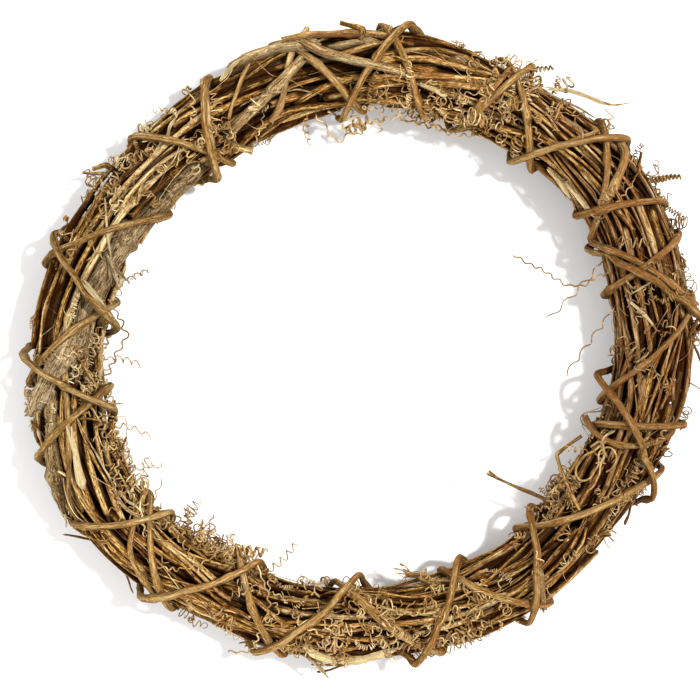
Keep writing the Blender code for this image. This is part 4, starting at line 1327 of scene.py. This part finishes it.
# Long tendrils of their own: kind of coil, and clock angle, distance from the middle and height
longTendrils = {
    "into_the_hole": ("wave", ((77, 132, 32), (73.5, 127, 31), (73.1, 119.4, 26), (74.1, 111.3, 22),
        (73.5, 105.7, 20), (71, 100.7, 19), (66.9, 95.8, 18), (62.6, 90.1, 18), (58.5, 86.5, 18))),
    "zigzag_top": ("wave", ((12, 118, 28), (17.1, 113.1, 24), (21, 112.7, 22), (24.2, 115.3, 22),
        (29.1, 117.6, 24), (33, 122, 26))),
    "under_top": ("wave", ((352.3, 114.2, 26), (356.3, 110.2, 22), (0, 106.2, 20), (3.7, 109.2, 20),
        (9.6, 112.4, 22), (18.5, 117, 26))),
    "under_top_hook": ("wave", ((346.3, 121.6, 26), (348.3, 117.6, 22), (351.1, 107.9, 18),
        (353.9, 99.9, 16), (357.4, 104.3, 18))),
    "right_spring": ("loose", ((57.5, 151, 28), (58.9, 155.7, 28), (60.1, 160.3, 28))),
    "right_spring_tip": ("knotted", ((60.1, 160.3, 28), (60.6, 165, 28), (61.1, 169.6, 28),
        (61.8, 173.3, 28))),
    "right_spring_two": ("knotted", ((60.2, 155.5, 26), (62.1, 159.5, 26), (63.7, 160.9, 25),
        (65.2, 162.1, 25))),
    "top_right_spring": ("knotted", ((30.5, 151.9, 31), (31.7, 155.6, 31), (33.2, 159.2, 30),
        (34.5, 162.3, 30))),
    "top_right_root": ("loose", ((29.6, 146.1, 34), (30.7, 151.1, 32), (31.7, 154.9, 31))),
    "wisp_curl": ("crook", ((37.3, 155.3, 31), (38.1, 160.4, 30), (38, 163.4, 30))),
    "big_loop": ("bare", ((110.5, 124, 41), (113.6, 120, 42), (115.6, 117, 42), (119, 116.4, 41),
        (120.8, 120, 42), (119.6, 123.6, 43), (116.2, 124.6, 43), (113.2, 122.6, 43), (111.6, 125.8, 43),
        (112.4, 130.4, 43), (114.8, 131.6, 42), (116.6, 129.6, 42))),
    "big_loop_two": ("bare", ((113, 118, 41), (111.2, 121, 42), (112.6, 124.6, 43), (116, 126, 43),
        (119.4, 127.6, 42), (122.4, 126.4, 42))),
    "low_left_wave": ("wave", ((205.4, 113.3, 34), (203.4, 117.3, 38), (199.7, 126.9, 42),
        (199.5, 139.4, 39), (200.1, 152.5, 30), (203.5, 157.5, 24))),
    "left_fringe": ("loose", ((255, 126.7, 30), (252.3, 123.4, 29), (249, 122.3, 27),
        (245.9, 124.6, 26))),
    "left_fringe_two": ("spring", ((251.4, 130.1, 29), (248.1, 127.7, 29), (244.8, 128.4, 27))),
    "left_fringe_three": ("loose", ((246.6, 130.7, 29), (243.7, 127.9, 28), (240.6, 128.9, 27),
        (238, 128.5, 27))),
    "left_fringe_four": ("crook", ((253.9, 128.8, 31), (252.2, 126.4, 30), (250.8, 123, 30))),
    "fringe_brush": ("loose", ((213.9, 116.3, 31), (209.5, 111.1, 30), (204.4, 106.1, 29))),
    "fringe_brush_two": ("loose", ((216, 117, 30), (211.5, 111, 28), (206.5, 107, 27))),
    "fringe_brush_three": ("crook", ((215, 116.6, 29), (210.5, 111.6, 29), (205.4, 107, 28))),
    "fringe_hook": ("loose", ((209.4, 117.4, 31), (205.2, 114.1, 30), (201.8, 115.3, 30),
        (200.6, 118.9, 31))),
    "fringe_wisp": ("wave", ((222.5, 124.3, 30), (225.5, 120, 28), (227.6, 117.6, 26))),
    "fringe_wisp_two": ("wave", ((219.2, 121.4, 30), (220.8, 115.1, 27), (223.1, 111.5, 25))),
    "fringe_wisp_three": ("wave", ((216.6, 119, 30), (218.1, 112.5, 27), (221.1, 108, 25),
        (221.7, 105.9, 24))),
    "left_wave": ("wave", ((281.1, 121.9, 30), (278.8, 117.9, 26), (275.8, 113.9, 22), (273.4, 112.1, 21),
        (271, 114.3, 20), (268.6, 116.7, 21), (264.8, 120.5, 24), (262.2, 124.6, 28))),
    "left_strand": ("wave", ((276.7, 124.7, 26), (274.7, 121.7, 22), (272.5, 120, 21),
        (269.8, 124.7, 24))),
    "under_top_knot": ("loose", ((356.3, 104, 20), (358.5, 108.1, 21), (0.8, 105.7, 21),
        (359.5, 102.8, 19))),
    "under_top_knot_two": ("crook", ((355.4, 107.4, 20), (357.9, 105.3, 20), (0.5, 109, 22),
        (3, 109.6, 23))),
    "under_top_knot_three": ("bare", ((0.5, 112.8, 24), (1.9, 115.7, 25), (2.8, 116.8, 26))),
    "under_top_tail": ("wave", ((10, 111.5, 21), (15.7, 111.7, 20), (19.7, 111.8, 20), (24.3, 112.3, 21),
        (29.6, 117.2, 24))),
    "top_edge_knot": ("loose", ((10.3, 117.5, 28), (12.4, 115.5, 27), (14.7, 112.7, 25),
        (15.4, 115, 26))),
}
# Straight hairs: thickness, and the same
straightHairs = {
    "left": (0.28, ((254.2, 118.9, 30), (253.2, 116.9, 26), (246.6, 120.9, 22), (240.3, 126, 22))),
    "top_right": (0.3, ((44.6, 164.6, 28), (46.4, 168.3, 28), (47.5, 174.2, 28))),
}
# How they are drawn: spacing, thickness beside the curls' and at least, how pale the knotted ones
# may be; waves of the hairs, their size, and the hairs' taper
ownTendrils = {
    "seed": 61, "spacing": 0.8, "thicker": 1.45, "least": 0.4, "sides": 6, "palest": {"knotted": 0.1},
    "waves": (9, 11, 13), "wave": 0.4, "taper": 0.5,
}


def makeLongTendrils():
    # coils along the traced lines; the hairs are lines with slight sine waves
    draw = np.random.default_rng(ownTendrils["seed"])
    sides = ownTendrils["sides"]
    parts = []
    for kind, keys in longTendrils.values():
        rows = coilAlong(planCurve(keys, ownTendrils["spacing"])[:, :3], kind, draw, True)
        rows[:, 3] = np.maximum(rows[:, 3] * ownTendrils["thicker"], ownTendrils["least"])
        parts.append(strand(rows, draw, sides, ownTendrils["palest"].get(kind, 1.0)))
    for radius, keys in straightHairs.values():
        path = planCurve(keys)[:, :3]
        t = np.linspace(0, 1, len(path))
        a, b, c = ownTendrils["waves"]
        wave = np.stack([np.sin(a * t), np.cos(b * t), np.sin(c * t)], axis=-1) * ownTendrils["wave"]
        parts.append(strand(tube(path + wave, radius * (1 - ownTendrils["taper"] * t)), draw, sides))
    makePiece("long_tendrils", parts, "tendril")


# Loose fibres: length, thickness, lean from the ring's direction, bend, lift of the whole and of
# the end, taper
fibres = {
    "seed": 53, "count": 230, "length": (8, 34), "radius": (0.12, 0.24), "lean": 0.45, "bend": 0.7,
    "lift": 0.3, "endLift": (0, 0.3), "taper": 0.5, "sides": 4,
}
# Peeled strips of bark: length, half width and half thickness; where they lie, their lean, bend
# and lift; how far they are peeled; ragged edges, and how their ends narrow
strips = {
    "count": 24, "length": (14, 45), "wide": (0.3, 0.8), "thick": 0.3, "wavy": 0.2, "turn": (-20, 200),
    "lean": 0.25, "bend": 0.4, "lift": 0.4, "peeled": (0, 0.75), "sides": 8, "wavePace": 0.2,
    "start": (0.5, 0.5, 0.15), "end": (0.35, 0.65, 0.3), "fold": (0.5, 5), "tone": (0.3, 0.9), "jag": 1.0,
    "topLift": 0.8, "topTuck": (0.5, 0.0), "stiffness": 5,
}
# Strips in plain sight: half width, how peeled, and clock angle and distance from the middle
topStrips = {
    "pale_left_two": (0.6, 0.7, ((255.6, 142.9), (250.6, 143.4), (246.8, 144.2))),
    "pale_upper_left": (1.0, 1.0, ((332.5, 143.4), (335, 146), (337.5, 147.6))),
    "peeled_right": (0.6, 0.45, ((36.5, 150.2), (40.8, 154.2), (45.9, 158.2))),
    "over_stalk": (0.55, 1.0, ((300.4, 139.9), (296, 133.1), (292.5, 128.4), (288.3, 124))),
    "split_right": (0.8, 0.7, ((79.6, 128.7), (83.3, 135.5), (86.3, 140.5))),
    "strand_right": (0.5, 0.9, ((76.5, 144.4), (77.7, 136.4), (78.6, 130.1))),
    "bottom_split": (1.9, 1.0, ((190.6, 143.6), (187.6, 147), (184.4, 148.8), (180.4, 148.2),
        (176.2, 145.6), (171.6, 143))),
    "bottom_split_two": (1.2, 0.9, ((188.8, 147.4), (184.6, 150.6), (180.2, 150.4))),
}
# Pale wedges of split wood: half width and thickness at the blunt end, the other end's share of
# them, and clock angle and distance along
paleWedges = {
    "left": (2.6, 1.1, 0.2, ((243.3, 146.4), (245.3, 145.2), (248, 143.9), (251.2, 142.3), (255, 141))),
    "top": (1.5, 0.9, 0.6, ((18.8, 126), (16.5, 127.1), (14.7, 127.5), (12.8, 128.2))),
}
wedges = {
    "lift": 1.2, "tuck": (0.0, 1.5), "stiffness": 7, "blunt": (0.12, 0.1), "sides": 20, "groove": (0.06, 9),
    "swerve": (2, 6), "tone": 0.9, "jag": 0.6, "peeled": 0.58,
}
# Strips that stand off the bundle: half width, how peeled, and clock angle, distance and height
freeStrips = {
    "wisp": (0.95, 0.9, ((36, 152, 33), (38.6, 157.2, 31), (40.5, 159.7, 30), (42.5, 162.1, 29),
        (44.6, 164.6, 28), (46.4, 168.3, 28), (47.3, 172.6, 28))),
    "wisp_two": (0.4, 0.6, ((35, 152, 31), (38, 156.2, 31), (41, 160.2, 28))),
}
# Torn ends: where the splinters start and end, clock angle, distance and height; number; spread
tornEnds = {
    "stalk_foot": ((260.5, 155.5, 29), (258.4, 160.5, 25), 8, 1.3),
    "stalk_foot_two": ((259.3, 156.5, 26), (256.4, 160.6, 22), 6, 1.2),
    "second_stalk_end": ((246.0, 155.0, 27), (238.5, 159.5, 18), 9, 3.0),
    "pale_fray": ((283.6, 134.7, 38), (278.3, 121.2, 34), 9, 1.6),
    "bottom_fray": ((190.8, 146.6, 26), (184.0, 153.0, 18), 7, 2.4),
    "inner_straw": ((46.5, 123.6, 33), (58.5, 126.6, 33), 10, 1.1),
    "inner_straw_two": ((51.0, 125.5, 34), (60.5, 128.5, 34), 7, 1.2),
    "left_knot_fray": ((290.0, 126.0, 36), (284.0, 118.0, 30), 6, 2.0),
}
splinter = {
    "spacing": 1.2, "aside": 0.35, "reach": (0.55, 1.15), "parting": 1.6, "least": 1.0, "wide": (0.4, 1.1),
    "peeled": (0.1, 0.9),
}


def fibreRows(draw):
    # a nearly straight line over the crust that lifts at one end
    length = draw.uniform(*fibres["length"])
    heading = draw.normal() * fibres["lean"] + math.pi * draw.integers(0, 2)
    at = draw.uniform(0, 360), draw.uniform(0, 360), heading, draw.normal() * fibres["bend"]
    axis = surfaceAxis(*at, length, fibres["lift"])
    t = np.linspace(0, 1, len(axis))
    axis = axis + np.outer(t ** 3, axis[-1] - axis[0]) * draw.uniform(*fibres["endLift"])
    return tube(axis, draw.uniform(*fibres["radius"]) * (1 - fibres["taper"] * t))


def ribbon(path, wide, peeled, draw):
    # a flat ribbon: an ellipse carried along, with ragged edges and a frayed end
    t = np.linspace(0, 1, len(path))[:, None]
    turn = turnsRound(strips["sides"])
    startLeast, startMore, startOver = strips["start"]
    endLeast, endMore, endOver = strips["end"]
    edge = wide * (startLeast + startMore * eased(t / startOver))
    edge = edge * (endLeast + endMore * eased((1 - t) / endOver))
    s = lengthAlong(path)[:, None]
    ragged = softNoise(np.concatenate([s * strips["wavePace"], s * 0, s * 0], axis=1), wide)
    edge = edge * (1 + strips["wavy"] * ragged[:, None])
    share, folds = strips["fold"]
    thick = strips["thick"] * (1 + share * np.cos(folds * turn))
    tone = draw.uniform(*strips["tone"])
    shift = draw.uniform(*growth["shifts"])
    return closedTube(path, ellipse(turn, edge, thick), tone, shift, strips["jag"], peeled)


def wedge(wide, thick, tip, keys, draw):
    # an ellipse carried along: round at the blunt end, then evenly narrower
    path = overTop(keys, wedges["lift"], wedges["tuck"], wedges["stiffness"])
    t = np.linspace(0, 1, len(path))[:, None]
    over, least = wedges["blunt"]
    taper = np.sqrt(np.minimum(1, t / over + least)) * (1 - (1 - tip) * t)
    turn = turnsRound(wedges["sides"])
    (depth, count), (swerve, waves) = wedges["groove"], wedges["swerve"]
    grooves = 1 + depth * np.cos(count * turn + swerve * np.sin(waves * t))
    size = grooves * ellipse(turn, wide * taper, thick * (0.5 + 0.5 * taper))
    shift = draw.uniform(*growth["shifts"])
    return closedTube(path, size, wedges["tone"], shift, wedges["jag"], wedges["peeled"])


def splinters(start, end, count, spread, draw):
    # tapering slivers that set off side by side and part
    way = planCurve((start, end), splinter["spacing"])[:, :3]
    t = np.linspace(0, 1, len(way))
    parts = []
    for _ in range(count):
        aside = draw.normal(size=3) * spread * splinter["aside"]
        apart = draw.normal(size=3) * spread
        reach = draw.uniform(*splinter["reach"])
        path = way[0] + (way - way[0]) * reach + aside + np.outer(t ** splinter["parting"], apart)
        path[:, 2] = np.maximum(path[:, 2], splinter["least"])
        wide, peeled = draw.uniform(*splinter["wide"]), draw.uniform(*splinter["peeled"])
        parts.append(ribbon(path, wide, peeled, draw))
    return parts


def randomStrip(draw):
    # a ribbon on a line over the surface that heads along the ring
    at = draw.uniform(0, 360), draw.uniform(*strips["turn"])
    way = draw.normal() * strips["lean"], draw.normal() * strips["bend"]
    axis = surfaceAxis(*at, *way, draw.uniform(*strips["length"]), strips["lift"])
    return ribbon(axis, draw.uniform(*strips["wide"]), draw.uniform(*strips["peeled"]), draw)


def makeFibres():
    # fibres, then strips anywhere, strips and wedges in plain sight, and splinters
    draw = np.random.default_rng(fibres["seed"])
    parts = [strand(fibreRows(draw), draw, fibres["sides"]) for _ in range(fibres["count"])]
    makePiece("fibres", parts, "tendril")
    parts = [randomStrip(draw) for _ in range(strips["count"])]
    for wide, peeled, keys in topStrips.values():
        path = overTop(keys, strips["topLift"], strips["topTuck"], strips["stiffness"])
        parts.append(ribbon(path, wide, peeled, draw))
    for wide, peeled, keys in freeStrips.values():
        parts.append(ribbon(planCurve(keys)[:, :3], wide, peeled, draw))
    parts += [wedge(*look, draw) for look in paleWedges.values()]
    for torn in tornEnds.values():
        parts += splinters(*torn, draw)
    makePiece("bark_strips", parts, "old")


# The camera looks straight down; the picture is 0.476 mm a pixel and the ring's middle is at
# pixel 360, 349 of 700
view = {
    "pixel": 0.476, "pixels": 700, "ringPixel": (360, 349), "distance": 1300.0, "level": 28.0, "sensor": 36,
    "clip": (0.05, 20),
}


def lookDown():
    # the lens is the sensor's width times distance over the width that is seen
    right, down = (view["pixels"] / 2 - at for at in view["ringPixel"])
    x = ring["centre"][0] + right * view["pixel"]
    y = ring["centre"][1] - down * view["pixel"]
    data = bpy.data.cameras.new("camera")
    data.sensor_width = view["sensor"]
    data.lens = data.sensor_width * view["distance"] / (view["pixels"] * view["pixel"])
    data.clip_start, data.clip_end = view["clip"]
    spot = x * mm, y * mm, (view["level"] + view["distance"]) * mm
    bpy.context.scene.camera = place("camera", data, spot)


# Lights: place in metres, size, strength. They point at the middle of the floor.
lights = {
    "key": ((2.9, 0.9, 5.6), 0.45, 520.0),
    "fill": ((-0.75, -0.35, 0.55), 0.5, 3.8),
}
sky = {"Color": (1, 1, 1, 1), "Strength": 0.99}


def addLights():
    # each is tilted from straight down by the angle of its place, and turned towards the middle
    for name, (spot, size, energy) in lights.items():
        data = bpy.data.lights.new(name, "AREA")
        data.size, data.energy = size, energy
        x, y, z = spot
        lamp = place(name, data, spot)
        lamp.rotation_euler = (math.atan2(math.hypot(x, y), z), 0, math.atan2(x, -y))
    world = bpy.data.worlds.new("world")
    world.use_nodes = True
    for key, value in sky.items():
        world.node_tree.nodes["Background"].inputs[key].default_value = value
    bpy.context.scene.world = world
    bpy.context.scene.view_settings.view_transform = "Standard"


# The floor: half its side in metres, brightness and roughness
ground = {"reach": 3, "bright": 0.84, "rough": 0.9}


def addFloor():
    # a pale square under the ring
    reach, bright = ground["reach"], ground["bright"]
    mesh = bpy.data.meshes.new("floor")
    corners = [(-reach, -reach, 0), (reach, -reach, 0), (reach, reach, 0), (-reach, reach, 0)]
    mesh.from_pydata(corners, [], [(0, 1, 2, 3)])
    floor = place("floor", mesh)
    recipe = Recipe("pale floor")
    recipe.set(Base_Color=(bright, bright, bright, 1), Roughness=ground["rough"])
    mesh.materials.append(recipe.material)


stages = {
    "canes made": makeCanes, "shoots made": makeShoots, "canes laid on top": makeLaidCanes,
    "fine stems laid": makeFineStems, "binders made": makeBinders, "stubs made": makeStubs,
    "top stems made": makeTopStems, "twig ends made": makeTwigEnds, "curls made": makeCurls,
    "long tendrils made": makeLongTendrils, "fibres and strips made": makeFibres,
    "painted shade marked": markShelter, "camera set": lookDown, "lights set": addLights, "floor set": addFloor,
}
for said, make in stages.items():
    make()
    print(said)
